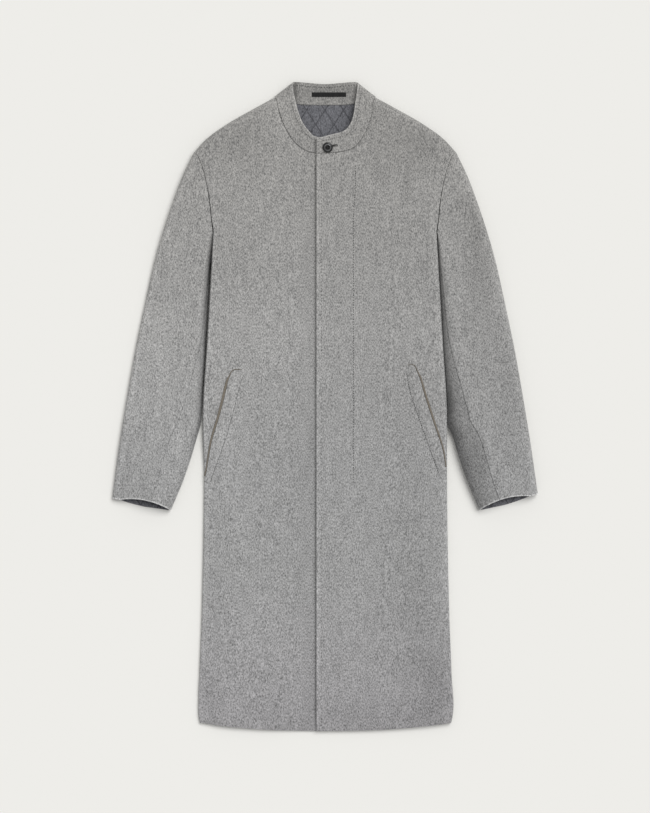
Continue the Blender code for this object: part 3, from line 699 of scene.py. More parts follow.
def patch_nap_and_shade(x, y):
    """Sum of the patches at a plan point."""
    total = 0.0
    for middle_x, middle_y, wide, tall, gain in NAP_AND_SHADE_PATCHES:
        total += gain * exp(-((x - middle_x) / wide) ** 2 - ((y - middle_y) / tall) ** 2)
    return total


print(len(NAP_AND_SHADE_PATCHES), "patches of nap")

# %% [markdown]
# ## Laying a grid of cloth
#
# Every panel starts as a flat grid. A filled outline would be quicker, but it has no even cells that can
# bend. Each corner of the grid is moved to its place on the coat, as cloth is laid on a form, and corners
# with no place are cut away. A live Solidify gives the wall with the other cloth face inside, and a live
# Bevel rounds the raw edge as felting does.

# %% From a grid to a piece of cloth
EDGE_ROUND = 0.0011
EDGE_STEPS = 2
SHARP_BEND = radians(60.0)
INWARDS = -1.0
OUTWARDS = 1.0


def add_piece(name, shape, finishes, replaced=None):
    """Makes a bmesh a smooth object that rides on the coat, and stands for a solid."""
    mesh = bpy.data.meshes.new(name)
    shape.to_mesh(mesh)
    shape.free()
    mesh.shade_smooth()
    for finish in finishes:
        mesh.materials.append(finish)
    piece = bpy.data.objects.new(name, mesh)
    bpy.context.scene.collection.objects.link(piece)
    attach(piece, "root")
    if replaced:
        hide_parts(replaced)
    return piece


def lay_grid(columns, rows, spot, mirrored=False, light_and_shade=None):
    """A grid with each corner at spot(column, row), or cut away where that is None."""
    shape = bmesh.new()
    nap_and_shade_layer = shape.verts.layers.float.new("nap")
    bmesh.ops.create_grid(shape, x_segments=columns, y_segments=rows, size=0.5)
    spare = []
    for corner in shape.verts:
        column = round((corner.co.x + 0.5) * columns)
        row = round((corner.co.y + 0.5) * rows)
        place = spot(column, row)
        if place is None:
            spare.append(corner)
            continue
        corner.co = place
        # The "nap" layer holds patches of brushing and painted light and shade
        corner[nap_and_shade_layer] = patch_nap_and_shade(-place.x if mirrored else place.x, place.y)
        if light_and_shade:
            corner[nap_and_shade_layer] += light_and_shade(column, row)
    bmesh.ops.delete(shape, geom=spare, context="VERTS")
    if mirrored:
        bmesh.ops.scale(shape, vec=(-1.0, 1.0, 1.0), verts=shape.verts)
        bmesh.ops.reverse_faces(shape, faces=shape.faces)
    return shape


def give_wall(piece, wall, offset=INWARDS, edge_round=EDGE_ROUND, inner_slot=0):
    """Thickens a piece inwards or outwards, and rounds its raw edges."""
    solid = piece.modifiers.new("wall", "SOLIDIFY")
    solid.thickness = wall
    solid.offset = offset
    solid.material_offset = inner_slot
    soft = piece.modifiers.new("felted_edge", "BEVEL")
    soft.width = edge_round
    soft.segments = EDGE_STEPS
    soft.limit_method = "ANGLE"
    soft.angle_limit = SHARP_BEND


def tell(name, shape):
    """Prints the cells of a sheet, and its area before it gets its wall."""
    area = sum(face.calc_area() for face in shape.faces)
    print(name, "has", len(shape.faces), "cells and", round(area, 5), "square metres")


print("cloth walls are", CLOTH_WALL * 1000.0, "mm")

# %% [markdown]
# ## Fronts and back
#
# Front and back panels have the same four sides: a centre edge, a side with an armhole, a hem, and a
# neckline that ends in a shoulder. One class lays out all three, so their edges meet without fitting. The
# fronts then roll over the sides and shoulders down to the back, which lies flat.

# %% Plan of a body panel
COLUMNS = 44
ROWS = 176
NECK_STEPS = 8
YOKE = (len(NECK_OVER) - 1) * NECK_STEPS
ROLL = 12
HEM_FADE = 3
SHOULDER_FADE = 2
SIDE_SQUARE = 0.65
STATION_STEP = 0.05
BACK_NECK_DROP = 0.0012
over_track = Track([(index, *row) for index, row in enumerate(NECK_OVER)])
under_track = Track([(index, *row) for index, row in enumerate(NECK_UNDER)])
back_track = Track([(index, *row) for index, row in enumerate(NECK_BACK)])


def panel_neckline(track):
    """The panel's neckline lies a seam's gap outside the collar's."""
    points = []
    for step in range(YOKE + 1):
        station = step / NECK_STEPS
        run = Vector((track(station + STATION_STEP) - track(station - STATION_STEP))[:2]).normalized()
        points.append(Vector(track(station)[:2]) + Vector((run.y, -run.x)) * SEWN_GAP)
    return points


def back_neckline():
    """The back's neckline, from its centre to the neck point."""
    points = []
    for step in range(YOKE + 1):
        seam = back_track(mix(len(NECK_BACK) - 1, 1.0, step / YOKE))
        points.append(Vector((seam[0], seam[1] - BACK_NECK_DROP)))
    return points


class Panel:
    """Plan of one body panel, on the wearer's left."""

    def __init__(self, edge_x, neckline, side_inset, shoulder_inset):
        self.edge_x = edge_x
        self.neckline = neckline
        self.side_inset = side_inset
        self.shoulder_inset = shoulder_inset

    @lru_cache(maxsize=None)
    def shoulder(self, share):
        """Where the panel's flat part ends below the shoulder."""
        return SHOULDER.at(share) - SHOULDER.side(share) * self.shoulder_inset

    @lru_cache(maxsize=None)
    def ends(self, row):
        """Plan ends of a row, and how far up it is in the body and in the yoke."""
        if row <= ROWS:
            share = row / ROWS
            inner = Vector((self.edge_x, mix(hem_y(self.edge_x), self.neckline[0].y, share)))
            y = mix(HEM_SIDE_Y, ARMPIT_Y, share)
            return inner, Vector((side_x(y) - self.side_inset(y), y)), share, 0.0
        share = (row - ROWS) / YOKE
        return self.neckline[row - ROWS], ARMHOLE.at(share), 1.0, share

    def plan(self, column, row):
        """Plan point of the panel's flat part."""
        share = column / COLUMNS
        inner, outer, up_body, up_yoke = self.ends(row)
        place = inner.lerp(outer, share)
        straight_hem = mix(hem_y(self.edge_x), HEM_SIDE_Y, share)
        place.y += (hem_y(place.x) - straight_hem) * (1.0 - up_body) ** HEM_FADE
        bow = self.shoulder(share) - self.shoulder(0.0).lerp(self.shoulder(1.0), share)
        return place + bow * up_yoke ** SHOULDER_FADE


def roll_angle(height, step):
    """Angle down a roll, from its top to where it lands on the cloth below."""
    landing = CLOTH_WALL + SEAM_GAP
    return mix(pi / 2.0, asin((landing - height / 2.0) / (height / 2.0)), step / ROLL)


def roll_point(start, outward, depth, height, step, square=1.0):
    """A point of a rolled edge that leaves the upper face at start. A square below 1 makes it crisper."""
    angle = roll_angle(height, step)
    power = square if angle > 0.0 else 1.0
    plan = start + outward * depth * max(cos(angle), 0.0) ** power
    rise = abs(sin(angle)) ** power
    return Vector((plan.x, plan.y, height / 2.0 * (1.0 + (rise if angle > 0.0 else -rise))))


print("panels have", COLUMNS, "by", ROWS + YOKE, "cells before their rolls")

# %% Two fronts
# Columns of the side roll between which the painted shade of the slot sets in
SLOT_COLUMNS = (2, 6)


def front_spot(panel, height):
    """Gives each corner of a front its place."""
    top = ROWS + YOKE

    def face_point(column, row):
        plan = panel.plan(column, row)
        return Vector((plan.x, plan.y, height(plan.x, plan.y)))

    def spot(column, row):
        if column <= COLUMNS and row <= top:
            return face_point(column, row)
        if row <= ROWS:
            edge = face_point(COLUMNS, row)
            sideways = Vector((1.0, 0.0))
            return roll_point(edge.xy, sideways, roll_depth(edge.y), edge.z, column - COLUMNS, SIDE_SQUARE)
        if column <= COLUMNS:
            edge = face_point(column, top)
            return roll_point(edge.xy, SHOULDER.side(column / COLUMNS), ROLL_DEPTH, edge.z, row - top)
        return None

    return spot


def front_light_and_shade(panel, side):
    """Painted sheen at the side fold, a painted highlight at the front edge that lies over, and painted shade
    in the slot.
    """
    def light_and_shade(column, row):
        plan = panel.plan(min(column, COLUMNS), min(row, ROWS + YOKE))
        front = exp(-((plan.x - FRONT_EDGE_X) / FRONT_HIGHLIGHT_WIDTH) ** 2) if side == "left" else 0.0
        if row > ROWS:
            return EDGE_HIGHLIGHT * front
        inside = max(reach_x(plan.y) - plan.x, 0.0)
        fold = exp(-(inside / FOLD_SHEEN_WIDTH) ** 2)
        slot = ramp(column - COLUMNS, *SLOT_COLUMNS) * ramp(plan.y, *SLOT_END_Y)
        return EDGE_HIGHLIGHT * front + FOLD_SHEEN * fold + SLOT_PAINTED_SHADE[side] * slot
    return light_and_shade


over_neck = panel_neckline(over_track)
under_neck = panel_neckline(under_track)
under_neck[0].x = -UNDERLAP_X
front_plans = (
    ("left", False, Panel(FRONT_EDGE_X, over_neck, roll_depth, ROLL_DEPTH), over_height),
    ("right", True, Panel(-UNDERLAP_X, under_neck, roll_depth, ROLL_DEPTH), under_height),
)
for side, mirrored, panel, height in front_plans:
    shape = lay_grid(COLUMNS + ROLL, ROWS + YOKE + ROLL, front_spot(panel, height), mirrored,
                     front_light_and_shade(panel, side))
    tuck_side(shape)
    tell("front " + side, shape)
    front = add_piece("front_cloth_" + side, shape, (outer_wool, inner_wool), "front_panel_" + side)
    give_wall(front, CLOTH_WALL, inner_slot=1)

# %% [markdown]
# ### The back
#
# The back is cut in one piece and lies flat on the floor, with its outer face down. Half of it is laid like
# a front and then mirrored, so both halves agree. A mirror can turn faces round, so the normals are worked
# out again, and turned to the floor, before the wall gets its thickness.

# %% Back
MERGE = 0.00001
back_panel = Panel(0.0, back_neckline(), lambda y: BACK_INSET, BACK_INSET)


def back_spot(column, row):
    """The back lies on the floor, with its outer face down."""
    return back_panel.plan(column, row).to_3d()


shape = lay_grid(COLUMNS, ROWS + YOKE, back_spot)
bmesh.ops.mirror(shape, geom=shape.verts[:] + shape.edges[:] + shape.faces[:], axis="X", merge_dist=MERGE)
bmesh.ops.recalc_face_normals(shape, faces=shape.faces)
if sum(face.normal.z for face in shape.faces) > 0.0:
    bmesh.ops.reverse_faces(shape, faces=shape.faces)
tuck_side(shape)
tell("back", shape)
give_wall(add_piece("back_cloth", shape, (outer_wool, inner_wool), "back_panel"), CLOTH_WALL, inner_slot=1)

# %% [markdown]
# ## Sleeves
#
# Each sleeve has a top piece and an under piece. The seam between them runs along the forearm, and
# the sleeve is highest there: the cloth slopes down from it to the body and lies flatter towards the
# outer edge. The under piece rests on the floor and turns up at the inner edge. A tube would be simpler,
# but its seam and its open cuff would have to be cut afterwards. So both pieces are laid row by row.

# %% Sizes and tables of the sleeve
SLEEVE_EDGE_ROLL = 0.0052
SLEEVE_MIDDLE_SHARE = 0.22
FLANK_ROUND = 1.9
FREE_MIDDLE_SHARE = 0.34
FREE_START = (0.60, 0.80)
FOREARM_GAP = {"left": 0.0004, "right": 0.0002}
SEAM_STEP = 0.02
OUTER_PRESSED = {"left": 0.0, "right": 0.0075}
# Dent in the inner flank of one sleeve: how much of it, its foot and top, its width, shares of length
DENTED = {"left": 0.0, "right": 1.0}
DENT_LOW = 0.0050
DENT_TOP = 0.0150
DENT_WIDE = 0.0130
DENT_START = (0.04, 0.12)
DENT_END = (0.60, 0.74)
# The sleeve leans on the body at the slot's end: most that it moves, share of length, half length
SLOT_CLOSE = {"left": 0.0045, "right": 0.0020}
SLOT_CLOSE_AT = 0.68
SLOT_CLOSE_LONG = 0.035
SLEEVE_ROLL_FADE = 0.30
SLEEVE_HEAD_FADE = 4
HEAD_JOIN = 0.125
HEAD_GAP = (0.0017, 0.0006)
SLEEVE_FAN = 0.20
SLEEVE_FAN_LENGTH = 0.10
CUFF_START = 0.80
CUFF_OPEN = 0.87
CUFF_TOP_LIFT = 0.0088
CUFF_UNDER_DROP = 0.0032
CUFF_TILT = {"left": -0.0050, "right": 0.0030}
CUFF_DIRECTION = Vector((0.20, -0.98))

# Outer edge of the sleeve, from the shoulder to the cuff: x, y
SLEEVE_OUTER = Line((
    (0.2411, 0.4672), (0.2586, 0.4312), (0.2838, 0.3650), (0.3113, 0.2766), (0.3315, 0.1883),
    (0.3499, 0.1000), (0.3654, 0.0117), (0.3797, -0.0766), (0.3919, -0.1660),
))

# Inner edge of the sleeve, from the armpit to the cuff: x, y
SLEEVE_INNER = Line((
    (0.2058, 0.3212), (0.2090, 0.2766), (0.2126, 0.2200), (0.2169, 0.1450), (0.2206, 0.0850),
    (0.2244, 0.0300), (0.2272, -0.0104), (0.2337, -0.0470), (0.2422, -0.0800), (0.2605, -0.1350),
    (0.2840, -0.1910),
))

# Share of length, height at the forearm seam, height at the outer edge, width of the sloping inner
# flank, place of the seam on that flank as an angle
SLEEVE_SECTION = Track((
    (0.00, 0.0190, 0.0190, 0.0004, 12.0),
    (0.15, 0.0215, 0.0195, 0.0125, 37.0),
    (0.35, 0.0250, 0.0195, 0.0212, 49.0),
    (0.57, 0.0310, 0.0205, 0.0350, 78.0),
    (0.75, 0.0350, 0.0215, 0.0510, 84.0),
    (1.00, 0.0270, 0.0185, 0.0440, 84.0),
))

# Waves of each sleeve: x counted outwards, y, bearing in degrees, half length, half width, height
SLEEVE_WAVES = {
    "left": (
        (0.262, 0.330, 110.0, 0.070, 0.018, -0.0016),
        (0.285, 0.230, 104.0, 0.090, 0.020, 0.0014),
        (0.300, 0.080, 99.0, 0.110, 0.022, -0.0012),
        (0.335, 0.020, 98.0, 0.090, 0.018, 0.0012),
        (0.330, -0.100, 100.0, 0.060, 0.022, -0.0012),
    ),
    "right": (
        (0.258, 0.310, 108.0, 0.080, 0.018, -0.0015),
        (0.290, 0.200, 103.0, 0.100, 0.022, 0.0015),
        (0.285, 0.050, 96.0, 0.080, 0.020, -0.0012),
        (0.325, 0.000, 100.0, 0.110, 0.020, 0.0012),
        (0.345, -0.090, 98.0, 0.070, 0.020, -0.0010),
    ),
}
print("sleeve is", round(max(SLEEVE_SECTION.values[:, 0]) * 1000.0, 1), "mm high at the forearm")

# %% [markdown]
# ### Rows across the sleeve
#
# A row knows its two edges, its heights and the slope of its inner flank. The first rows follow the armhole,
# and the last ones bow into the open cuff. A class holds this, because the top piece and the under piece
# both read the same rows, and so meet along the seam.

# %% A row across the sleeve
class SleeveRow:
    """One row across a sleeve, from its inner edge to its outer edge."""

    def __init__(self, share, head, side):
        fan = SLEEVE_FAN * (1.0 - exp(-share / SLEEVE_FAN_LENGTH)) * (1.0 - share)
        easing = ease(share / SLEEVE_ROLL_FADE)
        self.share = share
        self.head = head
        self.side = side
        self.height, self.outer_height, self.flank, self.seam = SLEEVE_SECTION(share)
        self.outer_height -= OUTER_PRESSED[side] * easing
        self.edge_roll = min(SLEEVE_EDGE_ROLL, self.flank)
        beside_body = mix(0.5, SLEEVE_MIDDLE_SHARE, easing)
        middle = self.height * mix(beside_body, FREE_MIDDLE_SHARE, ramp(share, *FREE_START))
        self.dent = DENTED[side] * ramp(share, *DENT_START) * (1.0 - ramp(share, *DENT_END))
        self.middle = mix(middle, DENT_LOW, self.dent)
        leaning = SLOT_CLOSE[side] * exp(-((share - SLOT_CLOSE_AT) / SLOT_CLOSE_LONG) ** 2)
        self.inner_edge = SLEEVE_INNER.at(share) - Vector((leaning, 0.0))
        self.outer_edge = SLEEVE_OUTER.at(share + fan)
        across = (self.outer_edge - self.inner_edge).normalized()
        straight = ramp(share, CUFF_START, 1.0)
        self.inward = SLEEVE_INNER.side(share).lerp(across, straight).normalized()
        beside = SHOULDER.side(1.0).lerp(SLEEVE_OUTER.side(share + fan), easing)
        self.outward = beside.lerp(across, straight).normalized()
        self.inner = self.inner_edge + self.inward * self.flank
        self.outer = self.outer_edge - self.outward * ROLL_DEPTH

    def plan(self, across):
        """Plan point between the flank and the outer roll: the first rows follow the armhole."""
        place = self.inner.lerp(self.outer, across)
        head = ARMHOLE.at(across) - ARMHOLE.side(across) * mix(*HEAD_GAP, ease(across))
        first = self.head.inner.lerp(self.head.outer, across) if self.head else place
        fade = (1.0 - self.share) ** SLEEVE_HEAD_FADE * min(1.0, across / HEAD_JOIN)
        return place + (head - first) * fade

    def finish(self, place, shift):
        """Bows and tilts the cuff, and adds the sleeve's waves to its upper side."""
        near_cuff = max(0.0, (self.share - CUFF_START) / (1.0 - CUFF_START)) ** 2
        width = self.outer_edge - self.inner_edge
        across = (place.xy - self.inner_edge).dot(width) / width.length_squared
        across = min(max(across, 0.0), 1.0)
        opened = min(across / CUFF_OPEN, 1.0)
        bow = CUFF_DIRECTION * 4.0 * opened * (1.0 - opened) * shift
        bow -= Vector((0.0, across * CUFF_TILT[self.side]))
        lift = read_waves(SLEEVE_WAVES[self.side], place.x, place.y)
        upper = ramp(place.z, self.middle, self.outer_height)
        return place + (bow * near_cuff).to_3d() + Vector((0.0, 0.0, lift * upper))

    def low_roll(self, angle):
        """A point of the roll below the inner edge, down to the floor."""
        plan = self.inner_edge + self.inward * self.edge_roll * (1.0 - cos(angle))
        return Vector((plan.x, plan.y, self.middle * (1.0 + sin(angle))))

    def flank_point(self, angle):
        """A point of the inner flank: it stands up from the inner edge, then leans over to the top."""
        share = 1.0 - cos(angle)
        plan = self.inner_edge + self.inward * self.flank * share
        rise = (1.0 - (1.0 - share) ** FLANK_ROUND) ** (1.0 / FLANK_ROUND)
        rounded = mix(self.middle, self.height, rise)
        dented = mix(DENT_LOW, DENT_TOP, ease(self.flank * share / DENT_WIDE))
        dented += (self.height - DENT_TOP) * ease(share)
        return Vector((plan.x, plan.y, mix(rounded, dented, self.dent)))

    def seam_angle(self, side):
        """Angle of the forearm seam on the inner flank, half a gap to one side of it."""
        angle = radians(self.seam)
        run = self.flank_point(angle + SEAM_STEP) - self.flank_point(angle - SEAM_STEP)
        return angle + side * FOREARM_GAP[self.side] * SEAM_STEP / run.length


print("rows of the sleeve can be read")

# %% Paths across the two pieces
FLANK_STEPS = 12
SLEEVE_COLUMNS = 22


def top_path(row):
    """The top sleeve runs from the forearm seam over the top and round the outer edge."""
    path = []
    seam = row.seam_angle(1.0)
    for step in range(FLANK_STEPS):
        path.append(row.flank_point(mix(seam, pi / 2.0, step / FLANK_STEPS)))
    for column in range(SLEEVE_COLUMNS + 1):
        across = column / SLEEVE_COLUMNS
        plan = row.plan(across)
        path.append(Vector((plan.x, plan.y, mix(row.height, row.outer_height, across))))
    for step in range(1, ROLL + 1):
        path.append(roll_point(row.plan(1.0), row.outward, ROLL_DEPTH, row.outer_height, step))
    return [row.finish(place, -CUFF_TOP_LIFT) for place in path]


def under_path(row):
    """The under sleeve lies on the floor, turns up at the inner edge and ends at the seam."""
    low = [(row.outer_edge - row.outward * BACK_INSET).to_3d()]
    for column in range(SLEEVE_COLUMNS):
        low.append(row.plan(1.0 - column / SLEEVE_COLUMNS).to_3d())
    for step in range(FLANK_STEPS + 1):
        low.append(row.low_roll(mix(-pi / 2.0, 0.0, step / FLANK_STEPS)))
    seam = row.seam_angle(-1.0)
    high = []
    for step in range(1, FLANK_STEPS + 1):
        high.append(row.flank_point(mix(0.0, seam, step / FLANK_STEPS)))
    path = [row.finish(place, CUFF_UNDER_DROP) for place in low]
    return path + [row.finish(place, -CUFF_TOP_LIFT) for place in high]


print("a row crosses", FLANK_STEPS + SLEEVE_COLUMNS + ROLL, "cells of the top sleeve")

# %% [markdown]
# ### Painted light and shade on the sleeves
#
# Little light falls into the slot between a sleeve and the body, so painted shade darkens the cloth there.
# The cuff's rim gets a painted highlight all round. These painted marks are counted in rows and columns
# of the grid, or in metres from the sleeve's inner edge.

# %% Painted shade of the slot and the seam, painted highlight of the cuff
# Painted shade on the under sleeve, whose flank faces away from the lamp
UNDER_SHADE = {"left": -0.13, "right": 0.02}
# Painted highlight on the cuff's rim
CUFF_HIGHLIGHT = 1.00
CUFF_HIGHLIGHT_ROWS = 2
# Painted shade along the forearm seam
SEAM_SHADE = {"left": -0.50, "right": -0.30}
SEAM_COLUMNS = 3
OUTER_COLUMNS = (-2, 1)
# Painted shade in the slot beside the body: share of the sleeve's length, gain at the inner edge, reach
SLOT_SHADE = {
    "left": Track((
        (0.00, -0.30, 0.0030), (0.25, -0.45, 0.0035), (0.43, -0.15, 0.0060), (0.54, -0.35, 0.0090),
        (0.61, -0.50, 0.0130), (0.70, -0.50, 0.0150), (0.80, -0.25, 0.0120), (1.00, -0.10, 0.0100),
    )),
    "right": Track((
        (0.00, -0.50, 0.0030), (0.06, -0.85, 0.0045), (0.25, -0.92, 0.0060), (0.60, -0.90, 0.0048),
        (0.70, -0.60, 0.0070), (0.78, -0.15, 0.0080), (1.00, -0.05, 0.0100),
    )),
}


def slot_shade(line, place):
    """Painted shade deep in the slot beside the body."""
    gain, reach = SLOT_SHADE[line.side](line.share)
    return gain * exp(-((place.xy - line.inner_edge).length / reach) ** 2)


def cuff_rim(row):
    """Painted highlight on the rim of the cuff."""
    return CUFF_HIGHLIGHT * max(0.0, 1.0 - row / CUFF_HIGHLIGHT_ROWS)


def top_light_and_shade(column, row, side):
    """Painted sheen at the outer edge, a painted highlight at the cuff, and painted shade along the forearm
    seam.
    """
    outer = ramp(column - FLANK_STEPS - SLEEVE_COLUMNS, *OUTER_COLUMNS)
    return FOLD_SHEEN * outer + cuff_rim(row) + SEAM_SHADE[side] * max(0.0, 1.0 - column / SEAM_COLUMNS)


def under_light_and_shade(column, row, side):
    """Each under sleeve gets its own even painted shade, and its flank ends in the cuff's painted highlight
    too.
    """
    return UNDER_SHADE[side] + (cuff_rim(row) if column > SLEEVE_COLUMNS + FLANK_STEPS else 0.0)


print("slots are shaded by tables of", [len(track.keys) for track in SLOT_SHADE.values()], "rows")

# %% Top and under sleeves
SLEEVE_ROWS = 132
CUFF_DENSE = 1.2


def lay_sleeve(lines, path_of, shading_of, mirrored):
    """Lays one piece of a sleeve on its rows, from the cuff up to the armhole."""
    paths = [path_of(line) for line in lines]

    def spot(column, row):
        return paths[row][column]

    # Painted light and shade of the sleeve: sheen, highlight and the shade of the slot and seam
    def light_and_shade(column, row):
        return shading_of(column, row, lines[row].side) + slot_shade(lines[row], paths[row][column])

    return lay_grid(len(paths[0]) - 1, SLEEVE_ROWS, spot, mirrored, light_and_shade)


for side, mirrored in (("left", False), ("right", True)):
    head_row = SleeveRow(0.0, None, side)
    shares = [1.0 - (index / SLEEVE_ROWS) ** CUFF_DENSE for index in range(SLEEVE_ROWS)]
    lines = [SleeveRow(share, head_row, side) for share in shares] + [head_row]
    for part, path_of, shading_of in (("top", top_path, top_light_and_shade), ("under", under_path, under_light_and_shade)):
        shape = lay_sleeve(lines, path_of, shading_of, mirrored)
        name = "sleeve_" + part + "_" + side
        tell(name, shape)
        sleeve = add_piece("sleeve_" + part + "_cloth_" + side, shape, (outer_wool, inner_wool), name)
        give_wall(sleeve, CLOTH_WALL, inner_slot=1)

# %% [markdown]
# ## Stand collar
#
# The collar is one straight band. It stands at the back, folds over at the sides of the neck and
# ends at the front, where the wearer's left end lies over the right one. A bevelled curve could follow the
# neck, but its band would twist freely. Here each row of the neck tables is a station with a point on the
# seam and a point on the upper edge, and the band is straight between the two.

# %% Points of the collar
COLLAR_ROWS = 14
OVER_END = 2.0


def collar_stations():
    """Seam and upper edge of the collar, from its upper end round the back to its lower end."""
    stations = []
    for seam_x, seam_y, *edge in NECK_OVER:
        stations.append((seam_x, seam_y, body_height(seam_x, seam_y), *edge))
    stations += NECK_BACK
    for seam_x, seam_y, seam_z, edge_x, *edge in NECK_BACK[-2::-1]:
        stations.append((-seam_x, seam_y, seam_z, -edge_x, *edge))
    for seam_x, seam_y, edge_x, *edge in NECK_UNDER[::-1]:
        stations.append((-seam_x, seam_y, under_height(seam_x, seam_y), -edge_x, *edge))
    return stations


collar_track = Track([(index, *row) for index, row in enumerate(collar_stations())])
COLLAR_END = len(collar_track.keys) - 1
BACK_STATION = len(NECK_OVER) + len(NECK_BACK) - 1


def collar_point(station, share):
    """A point of the collar, from its seam (share 0) to its upper edge (share 1)."""
    values = collar_track(station)
    place = Vector(values[:3]).lerp(Vector(values[3:]), share)
    if station < OVER_END:
        place.z += edge_lift(place.x, place.y)
    return place


def collar_normal(station, share):
    """The unit direction that faces up from the collar."""
    along = collar_point(station + STATION_STEP, share) - collar_point(station - STATION_STEP, share)
    normal = along.cross(collar_point(station, 1.0) - collar_point(station, 0.0)).normalized()
    return normal if normal.z > 0.0 else -normal


print("collar has", COLLAR_END + 1, "stations")

# %% Collar band
FOLD_X = -0.0555
FOLD_WIDE = 0.0035
FOLD_SHADE = -0.50
# Painted highlight on the collar's upper rim
RIM_HIGHLIGHT = 0.40
# Stations past the middle of the back where the fold's shade starts and ends, and where the rim starts
SHADE_START = (0.0, 0.5)
SHADE_END = (2.1, 2.5)
RIM_START = (3.0, 4.0)


def collar_spot(column, row):
    """The place of a corner of the collar's grid."""
    return collar_point(column / NECK_STEPS, row / COLLAR_ROWS)


def collar_light_and_shade(column, row):
    """Painted shade behind the fold on the wearer's right, and a painted highlight on the rim towards the
    front.
    """
    past_back = column / NECK_STEPS - BACK_STATION
    behind = ramp(past_back, *SHADE_START) * (1.0 - ramp(past_back, *SHADE_END))
    off_fold = (collar_spot(column, row).x - FOLD_X) / FOLD_WIDE
    rim = RIM_HIGHLIGHT * ramp(abs(past_back), *RIM_START) if row == COLLAR_ROWS else 0.0
    return FOLD_SHADE * behind * exp(-off_fold ** 2) + rim


shape = lay_grid(COLLAR_END * NECK_STEPS, COLLAR_ROWS, collar_spot, light_and_shade=collar_light_and_shade)
tell("collar", shape)
give_wall(add_piece("collar_cloth", shape, (outer_wool,), "collar_band"), COLLAR_WALL)

# %% [markdown]
# ## Pockets
#
# A slanted welt lies on each front with its mouth towards the side. A thin brown strip edges the
# mouth. A Shrinkwrap modifier could press both on the front. Asking the front's own height is exact, so
# they follow its waves at an even distance, also where it rolls over the side.

# %% Plan of the pockets
POCKET_ROUND = 0.0095
POCKET_ROUND_SHARE = 0.12
POCKET_ROUND_POWER = 4
# Inner seam x, y and mouth x, y, from the top end down
POCKETS = {
    "left": (
        (0.1470, 0.0760, 0.1680, 0.0760),
        (0.1562, 0.0260, 0.1815, 0.0260),
        (0.1745, -0.0290, 0.1992, -0.0290),
        (0.1920, -0.0780, 0.2155, -0.0770),
        (0.2100, -0.1260, 0.2215, -0.1160),
    ),
    "right": (
        (0.1475, 0.0670, 0.1738, 0.0670),
        (0.1587, 0.0260, 0.1827, 0.0260),
        (0.1698, -0.0180, 0.1938, -0.0180),
        (0.1836, -0.0655, 0.2085, -0.0655),
        (0.2141, -0.1420, 0.2236, -0.1370),
    ),
}


def pocket_plan(track, down, across):
    """Plan point of a pocket: down from its top end, across from its inner seam to its mouth."""
    values = track(down)
    place = Vector(values[:2]).lerp(Vector(values[2:]), across)
    rounded = abs(2.0 * across - 1.0) ** POCKET_ROUND_POWER * max(0.0, 1.0 - down / POCKET_ROUND_SHARE)
    place.y -= POCKET_ROUND * rounded
    return place


pocket_tracks = {}
for side, table in POCKETS.items():
    pocket_tracks[side] = Track([(index / (len(table) - 1), *row) for index, row in enumerate(table)])
    mouth = Vector(table[-1][2:]) - Vector(table[0][2:])
    print("pocket", side, "has a mouth", round(mouth.length, 3), "m long")

# %% Points on a front
ROLL_END = 0.98
SLOPE_STEP = 0.0004


def body_point(plan, height, lift):
    """A point at a distance above a front, also where the front rolls over the side."""
    def surface(x, y):
        depth = roll_depth(y)
        past = (x - (side_x(y) - depth)) / depth
        if past <= 0.0:
            return height(x, y)
        top = height(side_x(y) - depth, y)
        return top / 2.0 * (1.0 + sqrt(1.0 - min(past, ROLL_END) ** 2))
    slope_x = surface(plan.x + SLOPE_STEP, plan.y) - surface(plan.x - SLOPE_STEP, plan.y)
    slope_y = surface(plan.x, plan.y + SLOPE_STEP) - surface(plan.x, plan.y - SLOPE_STEP)
    normal = Vector((-slope_x, -slope_y, 2.0 * SLOPE_STEP)).normalized()
    return Vector((plan.x, plan.y, surface(plan.x, plan.y))) + normal * lift


corner = body_point(pocket_plan(pocket_tracks["left"], 1.0, 1.0), over_height, 0.0)
print("lower corner of the left pocket lies", round(corner.z * 1000.0, 1), "mm above the floor")

# %% Grids of the welt and the edging
POCKET_LIFT = 0.0005
WELT_COLUMNS = 10
WELT_ROWS = 72
WELT_SUNK = 0.0014
WELT_RISE_SHARE = 0.45
CURL_START = 0.25
CURL_ROWS = 24
EDGING_ROWS = 100
EDGING_END = 0.97
EDGING_GAP = 0.0007
# Share of the edging's run from its upper tip, width
EDGING_WIDTH = Track((
    (0.00, 0.0006), (0.10, 0.0009), (0.24, 0.0014), (0.34, 0.0029), (0.50, 0.0033), (0.80, 0.0024),
    (1.00, 0.0014),
))


def welt_lift(across):
    """The welt is flush with the front at its inner seam, and lies on it at the mouth."""
    return mix(-WELT_SUNK, POCKET_LIFT, ease(across / WELT_RISE_SHARE))


def welt_spot(track, height):
    """Gives each corner of a welt its place, from its lower end up."""
    def spot(column, row):
        across = column / WELT_COLUMNS
        return body_point(pocket_plan(track, 1.0 - row / WELT_ROWS, across), height, welt_lift(across))
    return spot


def mouth_plan(track, step):
    """Plan point of the mouth's edge: first over the welt's top end, then down to its lower end."""
    if step < CURL_ROWS:
        return pocket_plan(track, 0.0, mix(CURL_START, 1.0, step / CURL_ROWS))
    return pocket_plan(track, (step - CURL_ROWS) / (EDGING_ROWS - CURL_ROWS) * EDGING_END, 1.0)


